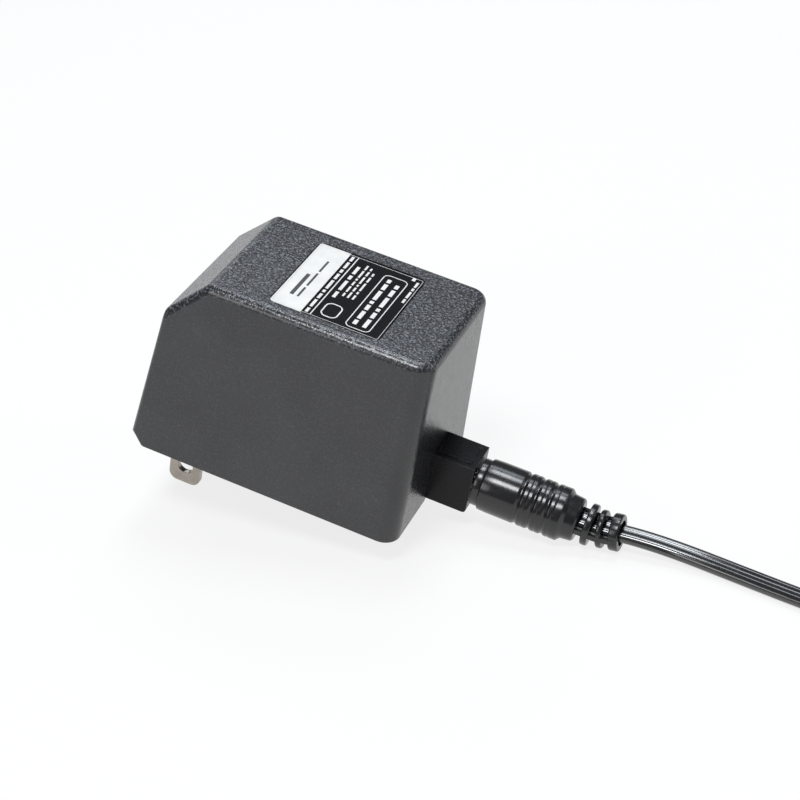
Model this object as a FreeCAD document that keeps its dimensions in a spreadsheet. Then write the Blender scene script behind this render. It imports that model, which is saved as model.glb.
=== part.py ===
import FreeCAD
import Part
import math
import os
import re
import Sketcher
from FreeCAD import Placement, Rotation, Vector

# Wall plug power supply with an output jack, the moulded plug in it and its flat twin cord.
# The supply is drawn in its own axes: x from the blade end to the output end, y across,
# z from the rim of the cover (z = 0, wall side) to the labelled top. The seat placement then
# lays it on the two blade tips and the last ring of the strain relief, as it rests on a table.

document = FreeCAD.newDocument("plug_in_supply")

# Driving sizes, mm and degrees.
SIZES = [
    ("housing_length", 65.3),
    ("base_width", 44.6),
    ("housing_height", 45.1),
    ("side_draft", 5.96),
    ("output_draft", 0.5),
    ("foot_run", 2.3),
    ("foot_rise", 2.8),
    ("nose_lean", 3.6),
    ("chamfer_run", 9.2),
    ("chamfer_drop", 9.6),
    ("output_corner_radius", 4.0),
    ("nose_corner_radius", 1.0),
    ("crown_radius", 2.1),
    ("wall", 2.0),
    ("recess_start", 25.4),
    ("recess_end_margin", 13.6),
    ("recess_front_margin", 3.5),
    ("recess_back_margin", 4.9),
    ("recess_depth", 0.45),
    ("recess_corner_radius", 1.5),
    ("label_thickness", 0.3),
    ("label_gap", 0.25),
    ("lid_thickness", 2.0),
    ("lid_gap", 0.15),
    ("pad_height", 3.0),
    ("pad_side_inset", 9.8),
    ("pad_end_margin", 12.0),
    ("pad_bevel", 1.0),
    ("boss_height", 1.2),
    ("boss_radius", 3.3),
    ("pillar_radius", 2.9),
    ("pillar_length", 18.8),
    ("screw_nose_margin", 0.4),
    ("screw_output_margin", 0.4),
    ("screw_side_margin", 0.59),
    ("screw_head_radius", 2.4),
    ("screw_head_thickness", 1.4),
    ("screw_recess", 1.8),
    ("screw_radius", 1.4),
    ("screw_length", 12.0),
    ("fit_gap", 0.1),
    ("spare", 1.0),
    ("blade_offset", 7.34),
    ("blade_spacing", 12.7),
    ("blade_thickness", 1.5),
    ("neutral_width", 7.94),
    ("line_width", 6.35),
    ("blade_reach", 16.9),
    ("blade_hole_offset", 11.9),
    ("blade_hole_radius", 1.98),
    ("blade_tip_radius", 2.2),
    ("blade_neck_width", 4.0),
    ("blade_seat_depth", 2.0),
    ("blade_tail", 8.0),
    ("solder_hole_radius", 0.8),
    ("board_start", 13.5),
    ("board_end_margin", 9.3),
    ("board_side_inset", 4.8),
    ("board_thickness", 1.6),
    ("post_height", 4.0),
    ("post_half", 2.0),
    ("post_inset", 3.0),
    ("jack_width", 9.4),
    ("jack_height", 12.65),
    ("jack_rise", 0.75),
    ("jack_shift", 0.9),
    ("jack_reach", 9.65),
    ("jack_length", 13.95),
    ("jack_corner_radius", 0.9),
    ("jack_panel_start", 0.5),
    ("jack_panel_inset", 1.4),
    ("jack_panel_rise", 0.3),
    ("jack_flange", 1.2),
    ("jack_flange_thickness", 1.6),
    ("jack_bore_radius", 2.95),
    ("jack_bore_depth", 9.8),
    ("jack_pin_radius", 1.0),
    ("jack_pin_recess", 0.8),
    ("jack_tail", 2.2),
    ("contact_width", 2.0),
    ("contact_thickness", 0.4),
    ("contact_recess", 2.8),
    ("plug_gap", 0.4),
    ("plug_ring_length", 1.76),
    ("plug_ring_radius", 5.47),
    ("grip_radius", 6.1),
    ("grip_length", 18.84),
    ("grip_groove_depth", 0.35),
    ("grip_groove_width", 0.9),
    ("grip_groove_start", 9.04),
    ("grip_groove_pitch", 3.2),
    ("collar_chamfer", 0.9),
    ("collar_radius", 5.1),
    ("collar_length", 2.75),
    ("collar_taper", 0.15),
    ("insert_radius", 3.6),
    ("insert_length", 9.8),
    ("barrel_radius", 2.75),
    ("barrel_wall", 0.45),
    ("barrel_length", 9.4),
    ("barrel_seat", 1.5),
    ("pin_socket_wall", 0.55),
    ("pin_socket_gap", 0.05),
    ("pin_bore", 1.05),
    ("pin_socket_recess", 0.3),
    ("relief_bend", 11.0),
    ("relief_corner", 29.3),
    ("relief_exit", 34.5),
    ("first_ring_start", 26.3),
    ("first_ring_end", 27.9),
    ("first_ring_radius", 4.8),
    ("second_ring_start", 0.1),
    ("second_ring_end", 1.4),
    ("second_ring_radius", 4.3),
    ("third_ring_start", 3.0),
    ("third_ring_radius", 4.2),
    ("ring_rounding", 0.4),
    ("bar_offset", 3.6),
    ("bar_thickness", 0.8),
    ("bar_height", 1.2),
    ("bar_root", 0.8),
    ("bar_end_margin", 1.0),
    ("cord_width", 5.0),
    ("cord_thickness", 2.6),
    ("cord_gap", 0.3),
    ("cord_entry", 22.0),
    ("passage_overlap", 0.3),
    ("core_length", 25.0),
    ("core_depth", 7.5),
    ("core_height", 25.0),
    ("core_leg", 3.75),
    ("core_end_gap", 0.2),
    ("core_shift", -5.0),
    ("core_lift", 2.4),
    ("bobbin_wall", 0.8),
    ("bobbin_gap", 0.1),
    ("primary_build", 1.75),
    ("secondary_build", 1.7),
    ("winding_rounding", 1.6),
    ("spreader_start", 18.0),
    ("spreader_length", 28.0),
    ("spreader_thickness", 1.5),
    ("spreader_height", 24.4),
    ("spreader_inset", 3.9),
    ("transistor_width", 10.0),
    ("transistor_depth", 4.4),
    ("transistor_height", 15.0),
    ("transistor_tab", 1.3),
    ("transistor_tab_height", 6.0),
    ("transistor_lift", 3.4),
    ("transistor_pitch", 12.0),
    ("transistor_start", 20.0),
    ("leg_thickness", 0.8),
    ("leg_pitch", 2.54),
    ("leg_root", 1.0),
    ("lead_radius", 0.5),
    ("lead_rise", 3.5),
    ("lead_inset", 1.4),
    ("pin_lead_rise", 2.0),
    ("sleeve_lead_rise", 1.1),
    ("tab_screw_head", 1.0),
    ("tab_screw_radius", 1.25),
    ("tab_screw_length", 5.0),
    ("toroid_along", 24.5),
    ("toroid_side", 2.4),
    ("toroid_radius", 4.4),
    ("toroid_bore", 2.4),
    ("toroid_height", 3.6),
    ("toroid_wire", 0.6),
    ("winding_gap", 0.08),
    ("choke_end_inset", 4.8),
    ("choke_inset", 4.5),
    ("choke_radius", 4.0),
    ("choke_waist", 2.0),
    ("choke_flange", 1.2),
    ("choke_height", 10.0),
    ("choke_wire_inset", 0.4),
    ("bridge_rectifier_along", 17.4),
    ("bridge_rectifier_side", 0.6),
    ("bridge_rectifier_length", 3.2),
    ("bridge_rectifier_width", 8.6),
    ("bridge_rectifier_height", 8.0),
    ("input_fuse_along", 17.6),
    ("input_fuse_side", 9.2),
    ("input_fuse_length", 3.6),
    ("input_fuse_width", 8.0),
    ("input_fuse_height", 7.6),
    ("line_capacitor_along", 22.0),
    ("line_capacitor_inset", 4.0),
    ("line_capacitor_length", 13.0),
    ("line_capacitor_width", 6.0),
    ("line_capacitor_height", 12.0),
    ("upper_bridge_capacitor_along", 21.0),
    ("upper_bridge_capacitor_side", -7.0),
    ("lower_bridge_capacitor_along", 47.0),
    ("lower_bridge_capacitor_side", 6.1),
    ("bridge_capacitor_length", 10.0),
    ("bridge_capacitor_width", 4.4),
    ("bridge_capacitor_height", 9.0),
    ("component_edge", 0.5),
    ("resistor_along", 31.5),
    ("resistor_side", 6.3),
    ("resistor_radius", 1.15),
    ("resistor_length", 6.5),
    ("resistor_cap_slope", 0.4),
    ("resistor_cap_step", 0.2),
    ("coil_along", 132.58),
    ("coil_side", 15.64),
    ("coil_turn_radius", 25.0),
    ("coil_column_pitch", 5.3),
    ("coil_layer_pitch", 2.7),
    ("coil_lift", 0.6),
    ("coil_heading", 15.2),
    ("coil_lead", 18.0),
    ("coil_tail", 20.0),
    ("tie_width", 6.0),
    ("tie_thickness", 0.5),
    ("tie_gap", 0.4),
    ("socket_offset", 4.0),
    ("socket_neck_radius", 3.6),
    ("socket_collar", 8.0),
    ("socket_length", 30.0),
    ("socket_insert_radius", 4.2),
    ("socket_bore_depth", 11.8),
    ("socket_pin_root", 3.0),
    ("socket_pin_point", 0.4),
]

sheet = document.addObject("Spreadsheet::Sheet", "sizes")
for row, (alias, value) in enumerate(SIZES, 1):
    sheet.set("A%d" % row, alias.replace("_", " "))
    sheet.set("B%d" % row, str(value))
    sheet.setAlias("B%d" % row, alias)

# Values that follow from the driving sizes, each written once as a formula.
LAYOUT = [
    ("base_half", "base_width / 2"),
    ("top_length", "housing_length - housing_height * tan(output_draft)"),
    ("top_half", "base_half - housing_height * tan(side_draft)"),
    ("nose_height", "housing_height - chamfer_drop"),
    ("crown_start", "nose_lean + chamfer_run"),
    ("side_wall", "wall / cos(side_draft)"),
    ("wall_face", "-pad_height"),
    ("pad_half", "base_half - pad_side_inset"),
    ("pad_end", "housing_length - pad_end_margin"),
    ("nose_angle", "atan((nose_height - foot_rise) / nose_lean)"),
    ("chamfer_angle", "atan(chamfer_drop / chamfer_run)"),
    ("nose_share", "wall / (1 + cos(nose_angle - chamfer_angle))"),
    ("nose_inset", "nose_share * (sin(nose_angle) + sin(chamfer_angle))"),
    ("nose_sink", "nose_share * (cos(nose_angle) + cos(chamfer_angle))"),
    ("crown_inset", "wall * tan(chamfer_angle / 2)"),
    ("lid_start", "foot_run + wall + lid_gap"),
    ("lid_end", "housing_length - wall - lid_gap - lid_thickness * tan(output_draft)"),
    ("lid_half", "base_half - side_wall - lid_gap - lid_thickness * tan(side_draft)"),
    ("boss_top", "lid_thickness + boss_height"),
    ("screw_nose", "foot_run + wall + boss_radius + screw_nose_margin"),
    ("screw_output", "housing_length - wall - boss_radius - screw_output_margin"),
    ("screw_side", "base_half - side_wall - boss_radius - screw_side_margin"),
    ("post_top", "lid_thickness + post_height"),
    ("board_top", "post_top + board_thickness"),
    ("board_end", "housing_length - board_end_margin"),
    ("board_half", "base_half - board_side_inset"),
    ("post_nose", "board_start + post_inset"),
    ("post_output", "board_end - post_inset"),
    ("post_side", "board_half - post_inset"),
    ("blade_side", "blade_spacing / 2"),
    ("blade_tip", "wall_face - blade_reach"),
    ("blade_hole", "wall_face - blade_hole_offset"),
    ("blade_shoulder", "wall_face + blade_seat_depth"),
    ("jack_end", "housing_length + jack_reach"),
    ("jack_start", "jack_end - jack_length"),
    ("jack_front", "jack_shift - jack_width / 2"),
    ("jack_back", "jack_shift + jack_width / 2"),
    ("jack_top", "jack_rise + jack_height"),
    ("axis_height", "jack_rise + jack_height / 2"),
    ("bore_end", "jack_end - jack_bore_depth"),
    ("flange_start", "housing_length - wall - jack_flange_thickness - fit_gap "
                     "- (jack_top + jack_flange) * tan(output_draft)"),
    ("ring_start", "plug_gap"),
    ("grip_start", "ring_start + plug_ring_length"),
    ("grip_end", "grip_start + grip_length"),
    ("collar_start", "grip_end + collar_chamfer"),
    ("collar_end", "collar_start + collar_length"),
    ("insert_end", "grip_start + insert_length"),
    ("relief_run", "relief_exit - relief_corner"),
    ("exit_along", "jack_end + relief_corner + relief_run * cos(relief_bend)"),
    ("exit_height", "axis_height + relief_run * sin(relief_bend)"),
    ("lead_drop", "board_end - lead_inset"),
    ("core_end", "lead_drop - lead_radius - core_end_gap"),
    ("core_start", "core_end - core_length"),
    ("core_front", "core_shift - core_depth / 2"),
    ("core_back", "core_shift + core_depth / 2"),
    ("core_bottom", "board_top + core_lift"),
    ("core_middle", "core_bottom + core_height / 2"),
    ("core_top", "core_bottom + core_height"),
    ("core_centre", "core_start + core_length / 2"),
    ("tube_half", "core_leg + bobbin_gap + bobbin_wall"),
    ("primary_half", "tube_half + primary_build"),
    ("secondary_half", "primary_half + secondary_build"),
    ("window_bottom", "core_bottom + core_leg + bobbin_gap"),
    ("window_top", "core_top - core_leg - bobbin_gap"),
    ("spreader_side", "board_half - spreader_inset"),
    ("choke_along", "board_end - choke_end_inset"),
    ("choke_side", "board_half - choke_inset"),
    ("line_capacitor_side", "line_capacitor_inset - board_half"),
    ("coil_turn_outer", "coil_turn_radius + coil_column_pitch"),
    ("coil_turn_inner", "coil_turn_radius - coil_column_pitch"),
    ("coil_outer", "coil_turn_outer + cord_width / 2"),
    ("coil_inner", "coil_turn_inner - cord_width / 2"),
    ("coil_top", "coil_lift + 2 * coil_layer_pitch + cord_thickness"),
    ("touch_along", "coil_along - coil_turn_outer * sin(coil_heading)"),
    ("touch_side", "coil_side - coil_turn_outer * cos(coil_heading)"),
    ("entry_along", "touch_along - coil_lead * cos(coil_heading)"),
    ("entry_side", "touch_side + coil_lead * sin(coil_heading)"),
    ("socket_start", "coil_side - socket_offset"),
    ("socket_level", "coil_top + fit_gap + grip_radius"),
    ("tail_start", "socket_start - coil_tail"),
    # resting attitude: blade tips on one side, rim of the last relief ring on the other
    ("tip_along", "blade_offset + neutral_width / 2 - blade_tip_radius"),
    ("tip_height", "blade_tip + blade_tip_radius"),
    ("rim_along", "exit_along - ring_rounding * cos(relief_bend) "
                  "+ third_ring_radius * sin(relief_bend)"),
    ("rim_height", "exit_height - ring_rounding * sin(relief_bend) "
                   "- third_ring_radius * cos(relief_bend)"),
    ("rest_run", "rim_along - tip_along"),
    ("rest_rise", "rim_height - tip_height"),
    ("tilt", "atan(rest_rise / rest_run) + "
             "asin(blade_tip_radius / sqrt(rest_run * rest_run + rest_rise * rest_rise))"),
    ("lift", "tip_along * sin(tilt) - tip_height * cos(tilt) + blade_tip_radius"),
    ("reach_low", "(blade_offset - neutral_width / 2 + blade_tip_radius) * cos(tilt) "
                  "+ tip_height * sin(tilt) - blade_tip_radius"),
    ("reach_high", "exit_along * cos(tilt) + exit_height * sin(tilt) "
                   "+ (third_ring_radius - ring_rounding) * sin(tilt - relief_bend * 1 deg)"),
    ("shift", "-(reach_low + reach_high) / 2"),
]
ANGLES = ("tilt", "nose_angle", "chamfer_angle")

layout = document.addObject("App::VarSet", "layout")
NAMES = {}
for alias, value in SIZES:
    NAMES[alias] = "sizes." + alias
for name, formula in LAYOUT:
    NAMES[name] = "layout." + name


def linked(formula):
    """The formula with every size name written as a reference."""
    return re.sub(r"[a-z_]+", lambda word: NAMES.get(word.group(), word.group()), formula)


for name, formula in LAYOUT:
    kind = "App::PropertyAngle" if name in ANGLES else "App::PropertyFloat"
    layout.addProperty(kind, name, "Layout")
    layout.setExpression(name, linked(formula))
layout.addProperty("App::PropertyPlacement", "seat", "Layout")
layout.seat = Placement(Vector(0, 0, 0), Rotation(Vector(0, 1, 0), 1))
layout.setExpression("seat.Rotation.Angle", "tilt")
layout.setExpression("seat.Base.x", "shift * 1 mm")
layout.setExpression("seat.Base.z", "lift * 1 mm")
document.recompute()

SIZE = dict(SIZES)


def value(name):
    """The present number behind a size name."""
    if name in SIZE:
        return float(SIZE[name])
    found = getattr(layout, name)
    return float(found.Value if hasattr(found, "Value") else found)


NODES = []


def seated(thing):
    """Gives a finished sub-part the resting attitude of the whole supply."""
    thing.setExpression("Placement", "layout.seat")
    NODES.append(thing)
    return thing


def new_body(label):
    body = document.addObject("PartDesign::Body", label)
    body.Label = label
    return body


def origin_plane(body, role):
    for feature in body.Origin.OriginFeatures:
        if feature.Role == role:
            return feature
    raise RuntimeError("no origin plane " + role)


def new_sketch(body, role, offset=("0", "0", "0"), turn=None):
    """A sketch on an origin plane; offset runs along the sketch's own x, y and normal."""
    sketch = body.newObject("Sketcher::SketchObject", "Sketch")
    sketch.AttachmentSupport = [(origin_plane(body, role), "")]
    sketch.MapMode = "FlatFace"
    if turn is not None:
        sketch.AttachmentOffset = Placement(Vector(0, 0, 0), Rotation(Vector(0, 0, 1), 1))
        sketch.setExpression("AttachmentOffset.Rotation.Angle", linked(turn))
    for part, formula in zip("xyz", offset):
        if formula != "0":
            sketch.setExpression("AttachmentOffset.Base." + part, "(%s) * 1 mm" % linked(formula))
    return sketch


def pin_point(sketch, geometry, point, start, formulas):
    """Pins one point of a sketch to two formulas."""
    for kind, axis, word in (("DistanceX", 0, "across"), ("DistanceY", 1, "up")):
        number = sketch.addConstraint(
            Sketcher.Constraint(kind, -1, 1, geometry, point, start[axis])
        )
        name = word + str(geometry)
        sketch.renameConstraint(number, name)
        sketch.setExpression("Constraints." + name, "(%s) * 1 mm" % linked(formulas[axis]))


def polygon(sketch, points, closed=True):
    """Straight lines through the points, each given by two formulas."""
    count = len(points)
    first = sketch.GeometryCount
    spread = 10.0
    rough = []
    for number in range(count):
        angle = 2 * math.pi * number / count
        rough.append(Vector(spread * math.cos(angle), spread * math.sin(angle), 0))
    lines = count if closed else count - 1
    for number in range(lines):
        sketch.addGeometry(Part.LineSegment(rough[number], rough[(number + 1) % count]), False)
    for number in range(lines if closed else lines - 1):
        following = first + (number + 1) % count
        sketch.addConstraint(Sketcher.Constraint("Coincident", first + number, 2, following, 1))
    for number in range(lines):
        pin_point(sketch, first + number, 1, rough[number], points[number])
    if not closed:
        last = first + lines - 1
        for kind, axis, word in (("DistanceX", 0, "lastacross"), ("DistanceY", 1, "lastup")):
            number = sketch.addConstraint(
                Sketcher.Constraint(kind, -1, 1, last, 2, rough[-1][axis])
            )
            sketch.renameConstraint(number, word)
            sketch.setExpression("Constraints." + word, "(%s) * 1 mm" % linked(points[-1][axis]))


def circle(sketch, centre, radius):
    first = sketch.GeometryCount
    start = Vector(1, 1, 0)
    sketch.addGeometry(Part.Circle(start, Vector(0, 0, 1), 1.0), False)
    pin_point(sketch, first, 3, start, centre)
    number = sketch.addConstraint(Sketcher.Constraint("Radius", first, 1.0))
    name = "radius" + str(first)
    sketch.renameConstraint(number, name)
    sketch.setExpression("Constraints." + name, "(%s) * 1 mm" % linked(radius))


def extrude(body, sketch, length, cut=False, midplane=False, back=False):
    kind = "PartDesign::Pocket" if cut else "PartDesign::Pad"
    feature = body.newObject(kind, "Cut" if cut else "Pad")
    feature.Profile = sketch
    feature.Midplane = midplane
    feature.Reversed = back
    feature.setExpression("Length", "(%s) * 1 mm" % linked(length))
    document.recompute()
    return feature


def revolve(body, sketch, axis, angle=360.0, cut=False):
    """Turns a sketch about its own horizontal or vertical axis."""
    kind = "PartDesign::Groove" if cut else "PartDesign::Revolution"
    feature = body.newObject(kind, "Turned")
    feature.Profile = sketch
    feature.ReferenceAxis = (sketch, [axis])
    feature.Angle = angle
    document.recompute()
    return feature


def turned(body, points, along="jack_end", height="axis_height", cut=False, turn=None, side=None):
    """Revolves a profile of (distance along, radius) about a line parallel to the plug's axis."""
    side = side if side is not None else "jack_shift"
    sketch = new_sketch(body, "XZ_Plane", (along, height, "-(%s)" % side), turn)
    polygon(sketch, points)
    return revolve(body, sketch, "H_Axis", cut=cut)


def primitive(body, kind, base, cut, lengths, axis=None):
    name = ("PartDesign::Subtractive" if cut else "PartDesign::Additive") + kind
    feature = body.newObject(name, kind)
    if axis == "x":
        feature.Placement = Placement(Vector(0, 0, 0), Rotation(Vector(0, 1, 0), 90))
    if axis == "y":
        feature.Placement = Placement(Vector(0, 0, 0), Rotation(Vector(1, 0, 0), -90))
    for part, formula in zip("xyz", base):
        feature.setExpression("Placement.Base." + part, "(%s) * 1 mm" % linked(formula))
    for property_name, formula in lengths:
        feature.setExpression(property_name, "(%s) * 1 mm" % linked(formula))
    document.recompute()
    return feature


def block(body, low, high, cut=False):
    """A box between two corners."""
    lengths = []
    for name, first, last in zip(("Length", "Width", "Height"), low, high):
        lengths.append((name, "(%s) - (%s)" % (last, first)))
    return primitive(body, "Box", low, cut, lengths)


def rod(body, base, radius, length, axis="z", cut=False):
    """A cylinder that starts at base and runs along an axis."""
    return primitive(
        body, "Cylinder", base, cut, [("Radius", radius), ("Height", length)], axis
    )


def middle(edge):
    return edge.valueAt((edge.FirstParameter + edge.LastParameter) / 2)


def direction(edge):
    ends = edge.Vertexes
    run = ends[-1].Point - ends[0].Point
    return run.normalize() if run.Length > 0 else run


def edges_where(shape, test):
    found = []
    for number, edge in enumerate(shape.Edges, 1):
        if test(edge):
            found.append("Edge%d" % number)
    return found


def rounded(body, feature, test, radius, bevel=False):
    """Fillets, or bevels, the edges of a feature that pass the test."""
    kind = "PartDesign::Chamfer" if bevel else "PartDesign::Fillet"
    finish = body.newObject(kind, "Bevel" if bevel else "Rounding")
    finish.Base = (feature, edges_where(feature.Shape, test))
    finish.setExpression("Size" if bevel else "Radius", "(%s) * 1 mm" % linked(radius))
    document.recompute()
    return finish


def upright(edge):
    return abs(direction(edge).z) > 0.99


def boolean(kind, label, base, others):
    """Part::Cut with one tool, or Part::MultiFuse."""
    result = document.addObject(kind, label)
    result.Label = label
    if kind == "Part::Cut":
        result.Base = base
        result.Tool = others
    else:
        result.Shapes = [base] + others
    document.recompute()
    return result


# Cover: one drafted moulded cup.
def drafted_block(label, profile, half_base, half_top, top, below):
    """A side profile across the whole width, with both flanks cut to the draft."""
    body = new_body(label)
    side = new_sketch(body, "XZ_Plane")
    polygon(side, profile)
    extrude(body, side, "2 * base_half + 2 * spare", midplane=True)
    flanks = new_sketch(body, "YZ_Plane")
    beyond = "base_half + 3 * spare"
    for sign in ("-", ""):
        polygon(flanks, [
            (sign + "(%s)" % half_base, below),
            (sign + "(%s)" % half_top, top),
            (sign + "(%s)" % half_top, "(%s) + spare" % top),
            (sign + "(%s)" % beyond, "(%s) + spare" % top),
            (sign + "(%s)" % beyond, below),
        ])
    trimmed = extrude(body, flanks, "3 * housing_length", cut=True, midplane=True)
    return body, trimmed


outer, trimmed = drafted_block(
    "cover_outside",
    [
        ("foot_run", "0"),
        ("0", "foot_rise"),
        ("nose_lean", "nose_height"),
        ("crown_start", "housing_height"),
        ("top_length", "housing_height"),
        ("housing_length", "0"),
    ],
    "base_half", "top_half", "housing_height", "0",
)
length_now = value("housing_length")
height_now = value("housing_height")
crown_now = value("crown_start")
nose_now = value("nose_height")
cornered = rounded(
    outer, trimmed,
    lambda edge: middle(edge).x > length_now - 2 and abs(direction(edge).z) > 0.9,
    "output_corner_radius",
)
crowned = rounded(
    outer, cornered,
    lambda edge: middle(edge).z > height_now - 0.5
    or (middle(edge).z > nose_now - 0.5 and middle(edge).x < crown_now - 0.5),
    "crown_radius",
)
rounded(
    outer, crowned,
    lambda edge: middle(edge).x < 3.5 and middle(edge).z < nose_now + 0.5
    and abs(direction(edge).z) > 0.5,
    "nose_corner_radius",
)

# The inside keeps the wall from each outer face, at the corners of the chamfer too.
nose_slope = "nose_lean / (nose_height - foot_rise)"
inner, hollow = drafted_block(
    "cover_inside",
    [
        ("foot_run + wall", "-spare"),
        ("foot_run + wall", "foot_rise / 2"),
        ("wall + %s * wall" % nose_slope, "foot_rise + wall"),
        ("nose_lean + nose_inset", "nose_height - nose_sink"),
        ("crown_start + crown_inset", "housing_height - wall"),
        ("top_length - wall", "housing_height - wall"),
        ("housing_length - wall + spare * tan(output_draft)", "-spare"),
    ],
    "base_half - side_wall + spare * tan(side_draft)", "top_half - side_wall",
    "housing_height", "-spare",
)
rounded(
    inner, hollow,
    lambda edge: middle(edge).x > length_now - 4 and abs(direction(edge).z) > 0.9,
    "output_corner_radius - wall",
)
cup = boolean("Part::Cut", "cover_cup", outer, inner)

SCREW_PLACES = []
for along in ("screw_nose", "screw_output"):
    for sign in ("-", ""):
        SCREW_PLACES.append((along, sign + "screw_side"))

pillars = []
bores = []
for along, side in SCREW_PLACES:
    for store, radius, start, length in (
        (pillars, "pillar_radius", "boss_top", "pillar_length"),
        (bores, "screw_radius + fit_gap", "boss_top - spare", "screw_length"),
    ):
        shaft = document.addObject("Part::Cylinder", "shaft")
        shaft.setExpression("Radius", "(%s) * 1 mm" % linked(radius))
        shaft.setExpression("Height", "(%s) * 1 mm" % linked(length))
        for part, formula in zip("xyz", (along, side, start)):
            shaft.setExpression("Placement.Base." + part, "(%s) * 1 mm" % linked(formula))
        store.append(shaft)

cover_cuts = new_body("cover_cuts")
recess = block(
    cover_cuts,
    ("recess_start", "-(top_half - recess_front_margin)", "housing_height - recess_depth"),
    ("top_length - recess_end_margin", "top_half - recess_back_margin", "housing_height + spare"),
)
rounded(cover_cuts, recess, upright, "recess_corner_radius")
notch_cut = new_body("jack_notch")
block(
    notch_cut,
    ("housing_length - 2 * wall", "jack_front - fit_gap", "-spare"),
    ("housing_length + spare", "jack_back + fit_gap", "jack_top + fit_gap"),
)
walls = boolean("Part::MultiFuse", "cover_walls", cup, pillars)
openings = boolean("Part::MultiFuse", "cover_openings", cover_cuts, [notch_cut] + bores)
housing_cover = seated(boolean("Part::Cut", "housing_cover", walls, openings))

# Label in its recess.
rating_label = new_body("rating_label")
plate = block(
    rating_label,
    (
        "recess_start + label_gap",
        "-(top_half - recess_front_margin - label_gap)",
        "housing_height - recess_depth",
    ),
    (
        "top_length - recess_end_margin - label_gap",
        "top_half - recess_back_margin - label_gap",
        "housing_height - recess_depth + label_thickness",
    ),
)
rounded(rating_label, plate, upright, "recess_corner_radius - label_gap")
seated(rating_label)

# Base plate that closes the cup.
base_plate = new_body("base_plate")
outline = new_sketch(base_plate, "XY_Plane")
polygon(outline, [
    ("lid_start", "-lid_half"),
    ("lid_end", "-lid_half"),
    ("lid_end", "lid_half"),
    ("lid_start", "lid_half"),
])
lid = extrude(base_plate, outline, "lid_thickness")
lid = rounded(
    base_plate, lid,
    lambda edge: upright(edge) and middle(edge).x > length_now / 2,
    "output_corner_radius - wall",
)
pad_outline = new_sketch(base_plate, "XY_Plane")
polygon(pad_outline, [
    ("foot_run", "-pad_half"),
    ("pad_end", "-pad_half"),
    ("pad_end", "pad_half"),
    ("foot_run", "pad_half"),
])
wall_pad = extrude(base_plate, pad_outline, "pad_height", back=True)
face_level = value("wall_face")
wall_pad = rounded(
    base_plate, wall_pad,
    lambda edge: abs(middle(edge).z - face_level) < 0.01
    and middle(edge).x > value("foot_run") + 0.01,
    "pad_bevel", bevel=True,
)
for along, side in SCREW_PLACES:
    rod(base_plate, (along, side, "lid_thickness / 2"), "boss_radius", "boss_top - lid_thickness / 2")
for along in ("post_nose", "post_output"):
    for sign in ("-", ""):
        block(
            base_plate,
            (
                along + " - post_half",
                sign + "post_side - post_half",
                "lid_thickness / 2",
            ),
            (along + " + post_half", sign + "post_side + post_half", "post_top"),
        )
block(
    base_plate,
    ("lid_end - spare", "jack_front", "0"),
    ("housing_length - fit_gap", "jack_back", "jack_rise"),
)
for along, side in SCREW_PLACES:
    well = (along, side, "-spare")
    rod(base_plate, well, "screw_head_radius + fit_gap", "spare + screw_recess", cut=True)
    rod(base_plate, well, "screw_radius + fit_gap", "2 * spare + boss_top", cut=True)
for side, width in (("-blade_side", "neutral_width"), ("blade_side", "line_width")):
    block(
        base_plate,
        (
            "blade_offset - %s / 2 - fit_gap / 2" % width,
            "%s - blade_thickness / 2 - fit_gap / 2" % side,
            "wall_face - spare",
        ),
        (
            "blade_offset + %s / 2 + fit_gap / 2" % width,
            "%s + blade_thickness / 2 + fit_gap / 2" % side,
            "blade_shoulder",
        ),
        cut=True,
    )
    block(
        base_plate,
        (
            "blade_offset - blade_neck_width / 2 - fit_gap / 2",
            "%s - blade_thickness / 2 - fit_gap / 2" % side,
            "wall_face - spare",
        ),
        (
            "blade_offset + blade_neck_width / 2 + fit_gap / 2",
            "%s + blade_thickness / 2 + fit_gap / 2" % side,
            "lid_thickness + spare",
        ),
        cut=True,
    )
# the rear flange of the jack stands in this gap of the lid
block(
    base_plate,
    ("jack_start - fit_gap", "jack_front - jack_flange - fit_gap", "jack_rise"),
    ("lid_end + spare", "jack_back + jack_flange + fit_gap", "lid_thickness + spare"),
    cut=True,
)
seated(base_plate)


# Blades.
def blade(label, side, width):
    body = new_body(label)
    sketch = new_sketch(body, "XZ_Plane", ("0", "0", "-(%s)" % side))
    polygon(sketch, [
        ("blade_offset - %s / 2" % width, "blade_tip"),
        ("blade_offset + %s / 2" % width, "blade_tip"),
        ("blade_offset + %s / 2" % width, "blade_shoulder"),
        ("blade_offset + blade_neck_width / 2", "blade_shoulder"),
        ("blade_offset + blade_neck_width / 2", "blade_tail"),
        ("blade_offset - blade_neck_width / 2", "blade_tail"),
        ("blade_offset - blade_neck_width / 2", "blade_shoulder"),
        ("blade_offset - %s / 2" % width, "blade_shoulder"),
    ])
    flat = extrude(body, sketch, "blade_thickness", midplane=True)
    tip = value("blade_tip")
    rounded(
        body, flat,
        lambda edge: abs(direction(edge).y) > 0.9 and middle(edge).z < tip + 0.01,
        "blade_tip_radius",
    )
    holes = new_sketch(body, "XZ_Plane", ("0", "0", "-(%s)" % side))
    circle(holes, ("blade_offset", "blade_hole"), "blade_hole_radius")
    circle(holes, ("blade_offset", "blade_tail - 2 * solder_hole_radius"), "solder_hole_radius")
    extrude(body, holes, "blade_thickness + 2 * spare", cut=True, midplane=True)
    return seated(body)


blade("neutral_blade", "-blade_side", "neutral_width")
blade("line_blade", "blade_side", "line_width")


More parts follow.
